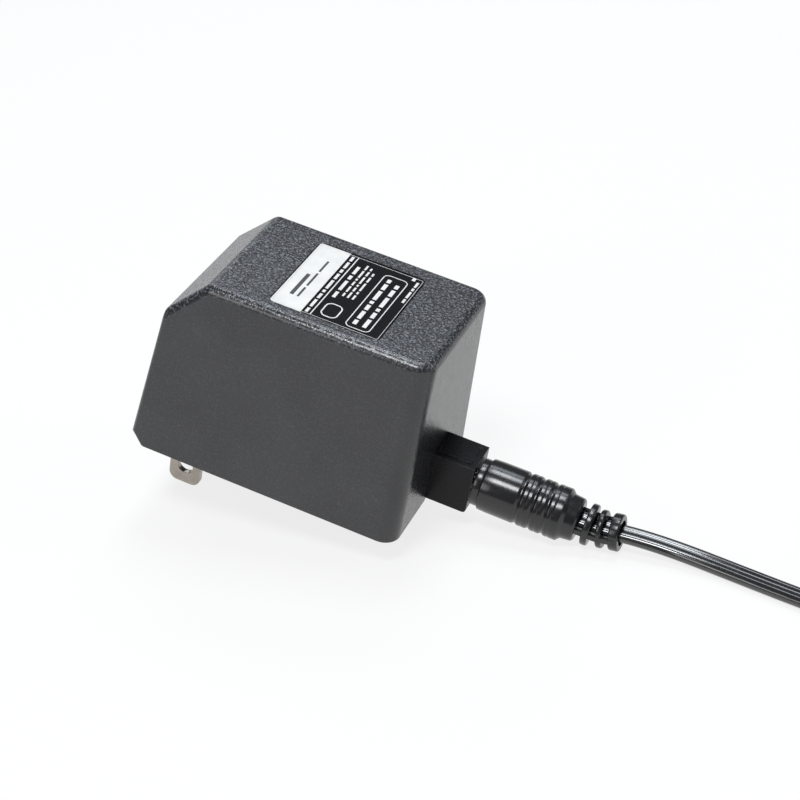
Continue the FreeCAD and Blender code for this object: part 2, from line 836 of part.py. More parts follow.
# Fasteners.
def screw_group(label, places, head_radius, head_thickness, radius, length, axis):
    """Pan head screws that share one size; places give the centre of each head's outer face."""
    pieces = []
    for place in places:
        body = new_body(label + "_piece")
        rod(body, place, head_radius, head_thickness, axis)
        rod(body, place, radius, length, axis)
        pieces.append(body)
    group = document.addObject("Part::Compound", label)
    group.Label = label
    group.Links = pieces
    return seated(group)


screw_group(
    "case_screws",
    [(along, side, "screw_recess - screw_head_thickness") for along, side in SCREW_PLACES],
    "screw_head_radius", "screw_head_thickness", "screw_radius", "screw_length", "z",
)

# Output jack.
jack_body = new_body("jack_body")
jack = block(
    jack_body,
    ("jack_start", "jack_front", "jack_rise"),
    ("jack_end", "jack_back", "jack_top"),
)
end_now = value("jack_end")
low_now = value("jack_rise")
rounded(
    jack_body, jack,
    lambda edge: middle(edge).x > end_now - 0.01 and middle(edge).z < low_now + 0.01,
    "jack_corner_radius",
)
block(
    jack_body,
    ("housing_length + jack_panel_start", "jack_front + jack_panel_inset", "jack_top - jack_panel_rise"),
    ("jack_end - jack_panel_inset", "jack_back - jack_panel_inset / 2", "jack_top + jack_panel_rise"),
)
block(
    jack_body,
    ("flange_start", "jack_front - jack_flange", "jack_rise"),
    ("flange_start + jack_flange_thickness", "jack_back + jack_flange", "jack_top + jack_flange"),
)
rod(
    jack_body, ("bore_end", "jack_shift", "axis_height"),
    "jack_bore_radius", "jack_bore_depth + spare", "x", cut=True,
)
rod(
    jack_body, ("jack_start - spare", "jack_shift", "axis_height"),
    "jack_pin_radius + pin_socket_gap", "jack_length", "x", cut=True,
)
block(
    jack_body,
    (
        "jack_start - spare",
        "jack_shift - jack_bore_radius - contact_thickness / 2 - pin_socket_gap",
        "axis_height - contact_width / 2 - pin_socket_gap",
    ),
    (
        "jack_end - contact_recess + spare",
        "jack_shift - jack_bore_radius + contact_thickness",
        "axis_height + contact_width / 2 + pin_socket_gap",
    ),
    cut=True,
)
seated(jack_body)

jack_pin = new_body("jack_pin")
rod(
    jack_pin, ("jack_start - jack_tail", "jack_shift", "axis_height"),
    "jack_pin_radius", "jack_length + jack_tail - jack_pin_recess", "x",
)
pin_now = value("jack_end") - value("jack_pin_recess")
rounded(
    jack_pin, jack_pin.Tip,
    lambda edge: middle(edge).x > pin_now - 0.01 and len(edge.Vertexes) < 2,
    "jack_pin_radius / 2", bevel=True,
)
seated(jack_pin)

jack_sleeve_contact = new_body("jack_sleeve_contact")
block(
    jack_sleeve_contact,
    (
        "jack_start - jack_tail",
        "jack_shift - jack_bore_radius - contact_thickness / 2",
        "axis_height - contact_width / 2",
    ),
    (
        "jack_end - contact_recess",
        "jack_shift - jack_bore_radius + contact_thickness / 2",
        "axis_height + contact_width / 2",
    ),
)
seated(jack_sleeve_contact)

# Plug in the jack.
# Distances run from the jack's end face along the plug's axis; the insert's ring stands
# plug_gap off that face.
plug_insert = new_body("plug_insert")
turned(plug_insert, [
    ("-barrel_length + pin_socket_gap", "pin_bore + pin_socket_wall + pin_socket_gap"),
    ("insert_end", "pin_bore + pin_socket_wall + pin_socket_gap"),
    ("insert_end", "insert_radius"),
    ("grip_start", "insert_radius"),
    ("grip_start", "plug_ring_radius"),
    ("ring_start", "plug_ring_radius"),
    ("ring_start", "barrel_radius + pin_socket_gap"),
    ("insert_end - barrel_seat", "barrel_radius + pin_socket_gap"),
    ("insert_end - barrel_seat", "barrel_radius - barrel_wall - pin_socket_gap"),
    ("-barrel_length + pin_socket_gap", "barrel_radius - barrel_wall - pin_socket_gap"),
])
seated(plug_insert)

plug_barrel = new_body("plug_barrel")
turned(plug_barrel, [
    ("-barrel_length", "barrel_radius - barrel_wall"),
    ("insert_end - barrel_seat - fit_gap", "barrel_radius - barrel_wall"),
    ("insert_end - barrel_seat - fit_gap", "barrel_radius"),
    ("-barrel_length", "barrel_radius"),
])
seated(plug_barrel)

plug_pin_socket = new_body("plug_pin_socket")
turned(plug_pin_socket, [
    ("pin_socket_recess - barrel_length", "pin_bore"),
    ("insert_end", "pin_bore"),
    ("insert_end", "pin_bore + pin_socket_wall"),
    ("pin_socket_recess - barrel_length", "pin_bore + pin_socket_wall"),
])
seated(plug_pin_socket)


def groove_profile(middle_along):
    """One shallow ring groove of the grip with sloping flanks."""
    half = "grip_groove_width / 2"
    return [
        ("%s - %s" % (middle_along, half), "grip_radius + spare"),
        ("%s - %s" % (middle_along, half), "grip_radius"),
        (middle_along, "grip_radius - grip_groove_depth"),
        ("%s + %s" % (middle_along, half), "grip_radius"),
        ("%s + %s" % (middle_along, half), "grip_radius + spare"),
    ]


def slotted_relief(body, along, height, side):
    """Grip, collar and slotted strain relief, from the grip's front face at grip_start."""
    turned(body, [
        ("grip_start", "insert_radius + pin_socket_gap"),
        ("insert_end + pin_socket_gap", "insert_radius + pin_socket_gap"),
        ("insert_end + pin_socket_gap", "0"),
        ("collar_end", "0"),
        ("collar_end", "collar_radius - collar_taper - ring_rounding"),
        ("collar_end - ring_rounding", "collar_radius - collar_taper"),
        ("collar_start", "collar_radius"),
        ("grip_end", "grip_radius"),
        ("grip_start", "grip_radius"),
    ], along, height, side=side)
    for number in range(3):
        centre = "(grip_start + grip_groove_start + %d * grip_groove_pitch)" % number
        turned(body, groove_profile(centre), along, height, cut=True, side=side)
    # two side bars carry the rings and follow the bend
    for sign in ("-", ""):
        bars = new_sketch(body, "XZ_Plane", (
            along, height, "-(%s) %s (bar_offset + bar_thickness / 2)" % (side, "-" if sign else "+"),
        ))
        polygon(bars, [
            ("collar_end - bar_root", "-bar_height / 2"),
            ("relief_corner", "-bar_height / 2"),
            (
                "relief_corner + (relief_run - bar_end_margin) * cos(relief_bend)",
                "(relief_run - bar_end_margin) * sin(relief_bend) - bar_height / 2",
            ),
            (
                "relief_corner + (relief_run - bar_end_margin) * cos(relief_bend)",
                "(relief_run - bar_end_margin) * sin(relief_bend) + bar_height / 2",
            ),
            ("relief_corner", "bar_height / 2"),
            ("collar_end - bar_root", "bar_height / 2"),
        ])
        extrude(body, bars, "bar_thickness", midplane=True)
    ring(body, "first_ring_start", "first_ring_end", "first_ring_radius", along, height, side)
    bent_along = "%s + relief_corner" % along
    ring(body, "second_ring_start", "second_ring_end", "second_ring_radius",
         bent_along, height, side, "relief_bend")
    ring(body, "third_ring_start", "relief_run", "third_ring_radius",
         bent_along, height, side, "relief_bend")


def ring(body, start, end, radius, along, height, side, turn=None):
    turned(body, [
        (start, "0"),
        (end, "0"),
        (end, "%s - ring_rounding" % radius),
        ("%s - ring_rounding" % end, radius),
        ("%s + ring_rounding" % start, radius),
        (start, "%s - ring_rounding" % radius),
    ], along, height, turn=turn, side=side)


def cord_passage(body, along, height, side):
    """The flat opening that the cord leaves through, straight and then bent with the rings."""
    for run, turn, start, end in (
        (along, None, "cord_entry", "relief_corner + passage_overlap"),
        (along + " + relief_corner", "relief_bend", "-passage_overlap", "relief_run + spare"),
    ):
        sketch = new_sketch(body, "XZ_Plane", (run, height, "-(%s)" % side), turn)
        half = "(cord_thickness / 2 + cord_gap)"
        polygon(sketch, [(start, "-" + half), (end, "-" + half), (end, half), (start, half)])
        extrude(body, sketch, "cord_width + 2 * cord_gap", cut=True, midplane=True)


plug_overmould = new_body("plug_overmould")
slotted_relief(plug_overmould, "jack_end", "axis_height", "jack_shift")
cord_passage(plug_overmould, "jack_end", "axis_height", "jack_shift")
seated(plug_overmould)

# Circuit board and what stands on it.
circuit_board = new_body("circuit_board")
block(
    circuit_board,
    ("board_start", "-board_half", "post_top"),
    ("board_end", "board_half", "board_top"),
)
seated(circuit_board)


def core_half(label, back_level, meeting_level, inward):
    """An E core half: back plate with two outer legs and the centre leg."""
    body = new_body(label)
    sketch = new_sketch(body, "XZ_Plane", ("0", "0", "-core_shift"))
    back = "%s %s core_leg" % (back_level, inward)
    polygon(sketch, [
        ("core_start", back_level),
        ("core_end", back_level),
        ("core_end", meeting_level),
        ("core_end - core_leg", meeting_level),
        ("core_end - core_leg", back),
        ("core_centre + core_leg", back),
        ("core_centre + core_leg", meeting_level),
        ("core_centre - core_leg", meeting_level),
        ("core_centre - core_leg", back),
        ("core_start + core_leg", back),
        ("core_start + core_leg", meeting_level),
        ("core_start", meeting_level),
    ])
    extrude(body, sketch, "core_depth", midplane=True)
    return seated(body)


core_half("core_lower", "core_bottom", "core_middle", "+")
core_half("core_upper", "core_top", "core_middle", "-")


def sleeve(body, outer_half, bottom, top, rounding):
    """A square tube about the centre leg with rounded outer corners."""
    outside = block(
        body,
        ("core_centre - %s" % outer_half, "core_shift - %s" % outer_half, bottom),
        ("core_centre + %s" % outer_half, "core_shift + %s" % outer_half, top),
    )
    if rounding:
        rounded(body, outside, upright, rounding)
    return outside


def hollow_centre(body, inner_half, bottom, top):
    block(
        body,
        ("core_centre - %s" % inner_half, "core_shift - %s" % inner_half, "%s - spare" % bottom),
        ("core_centre + %s" % inner_half, "core_shift + %s" % inner_half, "%s + spare" % top),
        cut=True,
    )


bobbin = new_body("bobbin")
sleeve(bobbin, "tube_half", "window_bottom", "window_top", None)
for low, high in (
    ("window_bottom", "window_bottom + bobbin_wall"),
    ("window_top - bobbin_wall", "window_top"),
):
    block(
        bobbin,
        ("core_centre - secondary_half", "core_shift - secondary_half", low),
        ("core_centre + secondary_half", "core_shift + secondary_half", high),
    )
for front, back in (
    ("core_shift - secondary_half", "core_front - bobbin_gap"),
    ("core_back + bobbin_gap", "core_shift + secondary_half"),
):
    block(
        bobbin,
        ("core_centre - primary_half", front, "board_top"),
        ("core_centre + primary_half", back, "window_bottom + bobbin_wall / 2"),
    )
hollow_centre(bobbin, "(core_leg + bobbin_gap)", "window_bottom", "window_top")
seated(bobbin)

for label, inside, outside, rounding in (
    ("primary_winding", "tube_half", "primary_half", "winding_rounding"),
    ("secondary_winding", "primary_half", "secondary_half", "2 * winding_rounding"),
):
    winding = new_body(label)
    low = "window_bottom + bobbin_wall"
    high = "window_top - bobbin_wall"
    sleeve(winding, outside, low, high, rounding)
    hollow_centre(winding, inside, low, high)
    seated(winding)

heat_spreader = new_body("heat_spreader")
plate = block(
    heat_spreader,
    ("spreader_start", "spreader_side", "board_top"),
    (
        "spreader_start + spreader_length",
        "spreader_side + spreader_thickness",
        "board_top + spreader_height",
    ),
)
top_now = value("board_top") + value("spreader_height")
rounded(
    heat_spreader, plate,
    lambda edge: abs(direction(edge).y) > 0.9 and middle(edge).z > top_now - 0.01,
    "spreader_thickness",
)
for number in range(2):
    rod(
        heat_spreader,
        (
            "transistor_start + transistor_width / 2 + %d * transistor_pitch" % number,
            "spreader_side - spare",
            "board_top + transistor_lift + transistor_height + transistor_tab_height / 2",
        ),
        "tab_screw_radius + pin_socket_gap", "spreader_thickness + 2 * spare", "y", cut=True,
    )
seated(heat_spreader)

for number, label in enumerate(("high_side_transistor", "low_side_transistor")):
    start = "transistor_start + %d * transistor_pitch" % number
    low = "board_top + transistor_lift"
    transistor = new_body(label)
    case = block(
        transistor,
        (start, "spreader_side - transistor_depth", low),
        (start + " + transistor_width", "spreader_side", low + " + transistor_height"),
    )
    face_now = value("spreader_side") - value("transistor_depth")
    rounded(
        transistor, case,
        lambda edge: abs(middle(edge).y - face_now) < 0.01 and abs(direction(edge).z) < 0.5,
        "leg_thickness / 2", bevel=True,
    )
    block(
        transistor,
        (start, "spreader_side - transistor_tab", low),
        (
            start + " + transistor_width",
            "spreader_side",
            low + " + transistor_height + transistor_tab_height",
        ),
    )
    for leg in (-1, 0, 1):
        centre = "(%s + transistor_width / 2 + %d * leg_pitch)" % (start, leg)
        block(
            transistor,
            (centre + " - leg_thickness / 2", "spreader_side - transistor_depth / 2", "board_top"),
            (
                centre + " + leg_thickness / 2",
                "spreader_side - transistor_depth / 2 + leg_thickness / 2",
                low + " + leg_root",
            ),
        )
    rod(
        transistor,
        (
            start + " + transistor_width / 2",
            "spreader_side - transistor_tab - spare",
            low + " + transistor_height + transistor_tab_height / 2",
        ),
        "tab_screw_radius + pin_socket_gap", "transistor_tab + 2 * spare", "y", cut=True,
    )
    seated(transistor)

screw_group(
    "transistor_screws",
    [
        (
            "transistor_start + transistor_width / 2 + %d * transistor_pitch" % number,
            "spreader_side - transistor_tab - tab_screw_head",
            "board_top + transistor_lift + transistor_height + transistor_tab_height / 2",
        )
        for number in range(2)
    ],
    "screw_head_radius", "tab_screw_head", "tab_screw_radius", "tab_screw_length", "y",
)


def upright_turned(body, along, side, points):
    """Revolves a profile of (radius, height above the board) about an upright line."""
    sketch = new_sketch(body, "XZ_Plane", (along, "board_top", "-(%s)" % side))
    polygon(sketch, points)
    return revolve(body, sketch, "V_Axis")


drive_toroid = new_body("drive_toroid")
upright_turned(drive_toroid, "toroid_along", "toroid_side", [
    ("toroid_bore", "toroid_wire"),
    ("toroid_radius", "toroid_wire"),
    ("toroid_radius", "toroid_wire + toroid_height"),
    ("toroid_bore", "toroid_wire + toroid_height"),
])
seated(drive_toroid)

# The turns wrap the core's section over part of the way round, so the section is a frame.
WINDING_SWEEP = 240.0
drive_winding = new_body("drive_winding")
sketch = new_sketch(drive_winding, "XZ_Plane", ("toroid_along", "board_top", "-toroid_side"))
polygon(sketch, [
    ("toroid_bore - toroid_wire", "0"),
    ("toroid_radius + toroid_wire", "0"),
    ("toroid_radius + toroid_wire", "toroid_height + 2 * toroid_wire"),
    ("toroid_bore - toroid_wire", "toroid_height + 2 * toroid_wire"),
])
polygon(sketch, [
    ("toroid_bore - winding_gap", "toroid_wire - winding_gap"),
    ("toroid_radius + winding_gap", "toroid_wire - winding_gap"),
    ("toroid_radius + winding_gap", "toroid_height + toroid_wire + winding_gap"),
    ("toroid_bore - winding_gap", "toroid_height + toroid_wire + winding_gap"),
])
revolve(drive_winding, sketch, "V_Axis", WINDING_SWEEP)
seated(drive_winding)

choke_core = new_body("choke_core")
upright_turned(choke_core, "choke_along", "choke_side", [
    ("0", "0"),
    ("choke_radius", "0"),
    ("choke_radius", "choke_flange"),
    ("choke_waist", "choke_flange"),
    ("choke_waist", "choke_height - choke_flange"),
    ("choke_radius", "choke_height - choke_flange"),
    ("choke_radius", "choke_height"),
    ("0", "choke_height"),
])
seated(choke_core)
choke_winding = new_body("choke_winding")
upright_turned(choke_winding, "choke_along", "choke_side", [
    ("choke_waist + winding_gap", "choke_flange"),
    ("choke_radius - choke_wire_inset", "choke_flange"),
    ("choke_radius - choke_wire_inset", "choke_height - choke_flange"),
    ("choke_waist + winding_gap", "choke_height - choke_flange"),
])
seated(choke_winding)


def boxed_part(label, along, side, length, width, height, edge):
    """A boxed component that stands on the board, centred, with its upright edges rounded."""
    body = new_body(label)
    case = block(
        body,
        ("%s - %s / 2" % (along, length), "%s - %s / 2" % (side, width), "board_top"),
        ("%s + %s / 2" % (along, length), "%s + %s / 2" % (side, width), "board_top + " + height),
    )
    rounded(body, case, upright, edge)
    return seated(body)


for label in (
    "bridge_rectifier", "input_fuse", "line_capacitor",
    "upper_bridge_capacitor", "lower_bridge_capacitor",
):
    stem = label.replace("upper_", "").replace("lower_", "")
    place = label if "bridge_capacitor" in label else stem
    boxed_part(
        label, place + "_along", place + "_side",
        stem + "_length", stem + "_width", stem + "_height", "component_edge",
    )

start_resistor = new_body("start_resistor")
sketch = new_sketch(start_resistor, "XZ_Plane", (
    "resistor_along", "board_top + resistor_radius", "-resistor_side",
))
polygon(sketch, [
    ("0", "0"),
    ("0", "resistor_radius"),
    ("resistor_length / 4", "resistor_radius"),
    ("resistor_length / 4 + resistor_cap_slope", "resistor_radius - resistor_cap_step"),
    ("resistor_length * 3 / 4 - resistor_cap_slope", "resistor_radius - resistor_cap_step"),
    ("resistor_length * 3 / 4", "resistor_radius"),
    ("resistor_length", "resistor_radius"),
    ("resistor_length", "0"),
])
revolve(start_resistor, sketch, "H_Axis")
seated(start_resistor)


def bent_wire(label, side, points):
    """A wire in an upright plane; it starts and ends along z."""
    body = new_body(label)
    path = new_sketch(body, "XZ_Plane", ("0", "0", "-(%s)" % side))
    polygon(path, points, closed=False)
    section = new_sketch(body, "XY_Plane", ("0", "0", points[0][1]))
    circle(section, (points[0][0], side), "lead_radius")
    pipe = body.newObject("PartDesign::AdditivePipe", "Pipe")
    pipe.Profile = section
    pipe.Spine = path
    pipe.Transition = "Right corner"
    document.recompute()
    return seated(body)


for label, side in (("neutral_lead", "-blade_side"), ("line_lead", "blade_side")):
    bent_wire(label, side, [
        ("blade_offset", "blade_tail"),
        ("blade_offset", "blade_tail + lead_rise"),
        ("board_start + lead_inset", "blade_tail + lead_rise"),
        ("board_start + lead_inset", "board_top"),
    ])
bent_wire("output_pin_lead", "jack_shift", [
    ("jack_start - jack_tail / 2", "axis_height + jack_pin_radius"),
    ("jack_start - jack_tail / 2", "axis_height + jack_pin_radius + pin_lead_rise"),
    ("lead_drop", "axis_height + jack_pin_radius + pin_lead_rise"),
    ("lead_drop", "board_top"),
])
bent_wire("output_sleeve_lead", "jack_shift - jack_bore_radius", [
    ("jack_start - jack_tail / 2", "axis_height + contact_width / 2"),
    ("jack_start - jack_tail / 2", "axis_height + contact_width / 2 + sleeve_lead_rise"),
    ("lead_drop", "axis_height + contact_width / 2 + sleeve_lead_rise"),
    ("lead_drop", "board_top"),
])

# Flat twin cord on the floor.
# Route of the cord's middle in the resting frame: out of the collar, through the rings, down to
# the floor in a slack curve and on to the coil.
CORD_ROUTE = [
    (42.30, 0.9, 6.16),
    (49.35, 0.9, 4.48),
    (58.80, 0.95, 3.80),
    (68.30, 0.75, 2.35),
    (79.40, -1.20, 1.40),
    (94.90, -5.40, 1.35),
    (107.10, -8.83, 1.90),
]


def stadium(width, thickness):
    """The cord's section: two straight sides and two half circles, wide side along y."""
    radius = thickness / 2
    reach = width / 2 - radius
    return Part.Wire([
        Part.LineSegment(Vector(0, -reach, radius), Vector(0, reach, radius)).toShape(),
        Part.Arc(Vector(0, reach, radius), Vector(0, reach + radius, 0),
                 Vector(0, reach, -radius)).toShape(),
        Part.LineSegment(Vector(0, reach, -radius), Vector(0, -reach, -radius)).toShape(),
        Part.Arc(Vector(0, -reach, -radius), Vector(0, -reach - radius, 0),
                 Vector(0, -reach, radius)).toShape(),
    ])


def tangent_path(points):
    """Straight runs joined by arcs as large as the runs allow, with the arcs' radii."""
    route = [Vector(*point) for point in points]
    edges = []
    radii = []
    start = route[0]
    for before, corner, after in zip(route, route[1:], route[2:]):
        inward = (corner - before).normalize()
        outward = (after - corner).normalize()
        half_turn = inward.getAngle(outward) / 2
        trim = 0.45 * min((corner - before).Length, (after - corner).Length)
        radius = trim / math.tan(half_turn)
        radii.append(radius)
        arc_start = corner - inward * trim
        arc_end = corner + outward * trim
        towards = (outward - inward).normalize()
        centre = corner + towards * (radius / math.cos(half_turn))
        arc_middle = centre - towards * radius
        edges.append(Part.LineSegment(start, arc_start).toShape())
        edges.append(Part.Arc(arc_start, arc_middle, arc_end).toShape())
        start = arc_end
    edges.append(Part.LineSegment(start, route[-1]).toShape())
    return Part.Wire(edges), radii


path, radii = tangent_path(CORD_ROUTE)
print("cord arc radii, mm:", [round(radius, 1) for radius in radii])
section = stadium(value("cord_width"), value("cord_thickness"))
first_run = Vector(*CORD_ROUTE[1]) - Vector(*CORD_ROUTE[0])
pitch = -math.degrees(math.atan2(first_run.z, first_run.x))
section.Placement = Placement(Vector(*CORD_ROUTE[0]), Rotation(Vector(0, 1, 0), pitch))
sweep = Part.BRepOffsetAPI.MakePipeShell(path)
sweep.setFrenetMode(False)
sweep.add(section)
sweep.build()
sweep.makeSolid()
output_cord = document.addObject("Part::Feature", "output_cord")
output_cord.Shape = sweep.shape()
output_cord.Placement = Placement()
NODES.append(output_cord)
area = Part.Face(section).Area
print("cord volume over section times length:", round(output_cord.Shape.Volume / (area * path.Length), 4))

# Coil, its tie and the far socket.
cord_coil = new_body("cord_coil")
sketch = new_sketch(cord_coil, "XZ_Plane", ("coil_along", "0", "-coil_side"))
polygon(sketch, [
    ("coil_inner", "coil_lift"),
    ("coil_outer", "coil_lift"),
    ("coil_outer", "coil_top"),
    ("coil_inner", "coil_top"),
])
revolve(cord_coil, sketch, "V_Axis")
sketch = new_sketch(cord_coil, "XY_Plane", ("0", "0", "coil_lift"))
polygon(sketch, [
    ("entry_along - cord_width / 2 * sin(coil_heading)",
     "entry_side - cord_width / 2 * cos(coil_heading)"),
    ("touch_along - cord_width / 2 * sin(coil_heading)",
     "touch_side - cord_width / 2 * cos(coil_heading)"),
    ("touch_along + cord_width / 2 * sin(coil_heading)",
     "touch_side + cord_width / 2 * cos(coil_heading)"),
    ("entry_along + cord_width / 2 * sin(coil_heading)",
     "entry_side + cord_width / 2 * cos(coil_heading)"),
])
extrude(cord_coil, sketch, "cord_thickness")
# the cord's end rises from the innermost turn to the socket that lies on the coil
sketch = new_sketch(cord_coil, "YZ_Plane", ("0", "0", "coil_along + coil_turn_inner"))
polygon(sketch, [
    ("tail_start", "coil_top - cord_thickness"),
    ("socket_start", "socket_level - cord_thickness / 2"),
    ("socket_start", "socket_level + cord_thickness / 2"),
    ("tail_start", "coil_top"),
])
extrude(cord_coil, sketch, "cord_width", midplane=True)
NODES.append(cord_coil)

coil_tie = new_body("coil_tie")
block(
    coil_tie,
    ("coil_along - tie_width / 2", "coil_side + coil_inner - tie_gap - tie_thickness", "0"),
    ("coil_along + tie_width / 2", "coil_side + coil_outer + fit_gap + tie_thickness",
     "coil_top + fit_gap + tie_thickness"),
)
block(
    coil_tie,
    ("coil_along - tie_width / 2 - spare", "coil_side + coil_inner - tie_gap", "tie_thickness"),
    ("coil_along + tie_width / 2 + spare", "coil_side + coil_outer + fit_gap", "coil_top + fit_gap"),
    cut=True,
)
NODES.append(coil_tie)


def socket_turned(body, points):
    """Revolves a profile of (distance from the cord's end, radius) about the socket's axis."""
    sketch = new_sketch(body, "YZ_Plane", (
        "socket_start", "socket_level", "coil_along + coil_turn_inner",
    ))
    polygon(sketch, points)
    revolve(body, sketch, "H_Axis")
    NODES.append(body)


socket_floor = "socket_length - socket_bore_depth"
pin_root = "socket_length - socket_bore_depth - socket_pin_root"
pin_hole = "jack_pin_radius + pin_socket_gap"
socket_body = new_body("socket_body")
socket_turned(socket_body, [
    ("0", "0"),
    ("0", "socket_neck_radius"),
    ("socket_collar", "collar_radius"),
    ("socket_collar + collar_chamfer", "grip_radius"),
    ("socket_length", "grip_radius"),
    ("socket_length", "socket_insert_radius + pin_socket_gap"),
    (socket_floor, "socket_insert_radius + pin_socket_gap"),
    (socket_floor, pin_hole),
    (pin_root, pin_hole),
    (pin_root, "0"),
])
socket_insert = new_body("socket_insert")
socket_turned(socket_insert, [
    (socket_floor, pin_hole),
    (socket_floor, "socket_insert_radius"),
    ("socket_length", "socket_insert_radius"),
    ("socket_length", "jack_bore_radius"),
    ("socket_length - jack_bore_depth", "jack_bore_radius"),
    ("socket_length - jack_bore_depth", pin_hole),
])
socket_pin = new_body("socket_pin")
socket_turned(socket_pin, [
    (pin_root, "0"),
    (pin_root, "jack_pin_radius"),
    ("socket_length - jack_pin_recess - socket_pin_point", "jack_pin_radius"),
    ("socket_length - jack_pin_recess", "jack_pin_radius - socket_pin_point"),
    ("socket_length - jack_pin_recess", "0"),
])

# Checks and files.
document.recompute()
for thing in document.Objects:
    if "Invalid" in thing.State or "Error" in thing.State:
        raise RuntimeError("%s was not built: %s" % (thing.Label, thing.State))
for node in NODES:
    if node.Shape.isNull() or not node.Shape.isValid() or not node.Shape.Solids:
        raise RuntimeError("%s has no valid solid" % node.Label)

os.makedirs("parts", exist_ok=True)
for node in NODES:
    node.Shape.exportStep(os.path.join("parts", node.Label + ".step"))
print("sub-parts written:", len(NODES))
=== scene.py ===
import math

import bmesh
import bpy
from mathutils import Matrix, Vector


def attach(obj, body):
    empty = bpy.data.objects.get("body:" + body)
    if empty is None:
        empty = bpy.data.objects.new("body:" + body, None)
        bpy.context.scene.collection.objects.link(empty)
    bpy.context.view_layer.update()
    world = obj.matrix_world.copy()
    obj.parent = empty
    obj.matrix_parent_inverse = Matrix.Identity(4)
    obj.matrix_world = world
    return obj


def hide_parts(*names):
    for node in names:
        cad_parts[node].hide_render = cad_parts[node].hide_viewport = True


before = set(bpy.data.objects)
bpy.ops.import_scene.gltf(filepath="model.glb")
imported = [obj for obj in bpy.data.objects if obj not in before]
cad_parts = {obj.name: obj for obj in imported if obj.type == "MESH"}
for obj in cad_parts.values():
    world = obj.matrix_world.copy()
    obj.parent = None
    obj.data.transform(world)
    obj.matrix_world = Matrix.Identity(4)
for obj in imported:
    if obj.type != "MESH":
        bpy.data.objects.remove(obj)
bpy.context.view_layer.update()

MM = 0.001

# Resting attitude of the supply: its own axes turned about Y, then moved, as in the frame.
TILT = math.radians(13.3191)
SEAT = Matrix.Translation((-53.7839 * MM, 0, 21.5226 * MM)) @ Matrix.Rotation(TILT, 4, "Y")


def seated(x, y, z):
    """A point of the supply's own axes, in millimetres, as a point of the frame in metres."""
    return SEAT @ Vector((x * MM, y * MM, z * MM))


# ---- camera, as fitted to the photo ----
FOCAL_LENGTH = 85.48
SENSOR_WIDTH = 36.0
CAMERA_PLACE = (0.155105, -0.31918, 0.256922)
CAMERA_RIGHT = (0.91867, 0.38969, -0.06472)
CAMERA_BACK = (0.36048, -0.76000, 0.54080)

camera_data = bpy.data.cameras.new("camera")
camera_data.lens = FOCAL_LENGTH
camera_data.sensor_width = SENSOR_WIDTH
camera_data.clip_start = 0.01
camera = bpy.data.objects.new("camera", camera_data)
bpy.context.collection.objects.link(camera)
eye = Vector(CAMERA_PLACE)
right = Vector(CAMERA_RIGHT).normalized()
back = Vector(CAMERA_BACK).normalized()
up = back.cross(right).normalized()
right = up.cross(back)
camera.matrix_world = Matrix((
    (right.x, up.x, back.x, eye.x),
    (right.y, up.y, back.y, eye.y),
    (right.z, up.z, back.z, eye.z),
    (0, 0, 0, 1),
))
bpy.context.scene.camera = camera

# ---- the cord's route ----
# The same points as the solid tube follows, in metres; the coil's turns go on from them.
CORD_ROUTE = [
    (0.04230, 0.00090, 0.00616),
    (0.04935, 0.00090, 0.00448),
    (0.05880, 0.00095, 0.00380),
    (0.06830, 0.00075, 0.00235),
    (0.07940, -0.00120, 0.00140),
    (0.09490, -0.00540, 0.00135),
    (0.10710, -0.00883, 0.00190),
]
CORD_WIDTH = 0.0050
CORD_THICKNESS = 0.0026
COIL_CENTRE = (0.13258, 0.01564)
COIL_COLUMNS = (0.0303, 0.0250, 0.0197)
COIL_LAYERS = (0.0019, 0.0046, 0.0073)
COIL_TOP_LEVEL = 0.0102
COIL_START = math.radians(-105.2)
RISE_END = math.radians(-16)
RISE_STEPS = 5
SOCKET_START = (0.15228, 0.01164, 0.0148)
POINTS_PER_TURN = 16
# A turn keeps its column for the first part of its length and changes over the rest of it.
COLUMN_KEPT = 0.7
COLUMN_CHANGE = 0.3


def ease(part):
    """0 to 1 with a level start and end."""
    return part * part * (3 - 2 * part)


def coil_points():
    """Nine flat turns: inward over the first layer, outward over the second, inward again."""
    points = []
    # The smooth line runs inside the points that steer it, so these lie a little further out.
    swell = 1 / (0.75 + 0.25 * math.cos(2 * math.pi / POINTS_PER_TURN))
    order = []
    for number, level in enumerate(COIL_LAYERS):
        columns = COIL_COLUMNS if number % 2 == 0 else COIL_COLUMNS[::-1]
        for radius in columns:
            order.append((radius, level))
    for number, (radius, level) in enumerate(order):
        following = order[number + 1] if number + 1 < len(order) else (radius, COIL_TOP_LEVEL)
        for step in range(POINTS_PER_TURN):
            part = step / POINTS_PER_TURN
            blend = ease(max(0.0, (part - COLUMN_KEPT) / COLUMN_CHANGE))
            now = radius + (following[0] - radius) * blend
            height = level + (following[1] - level) * blend
            angle = COIL_START + 2 * math.pi * (number + part)
            points.append((
                COIL_CENTRE[0] + now * swell * math.cos(angle),
                COIL_CENTRE[1] + now * swell * math.sin(angle),
                height,
            ))
    return points


def rising_points():
    """From the last turn, along the same column, up to the socket that lies on the coil."""
    points = []
    for step in range(RISE_STEPS):
        part = step / RISE_STEPS
        angle = COIL_START * (1 - part) + RISE_END * part
        points.append((
            COIL_CENTRE[0] + COIL_COLUMNS[2] * math.cos(angle),
            COIL_CENTRE[1] + COIL_COLUMNS[2] * math.sin(angle),
            COIL_TOP_LEVEL + (SOCKET_START[2] - COIL_TOP_LEVEL) * ease(part),
        ))
    for along in (-0.003, 0.002):
        points.append((SOCKET_START[0], SOCKET_START[1] + along, SOCKET_START[2]))
    return points


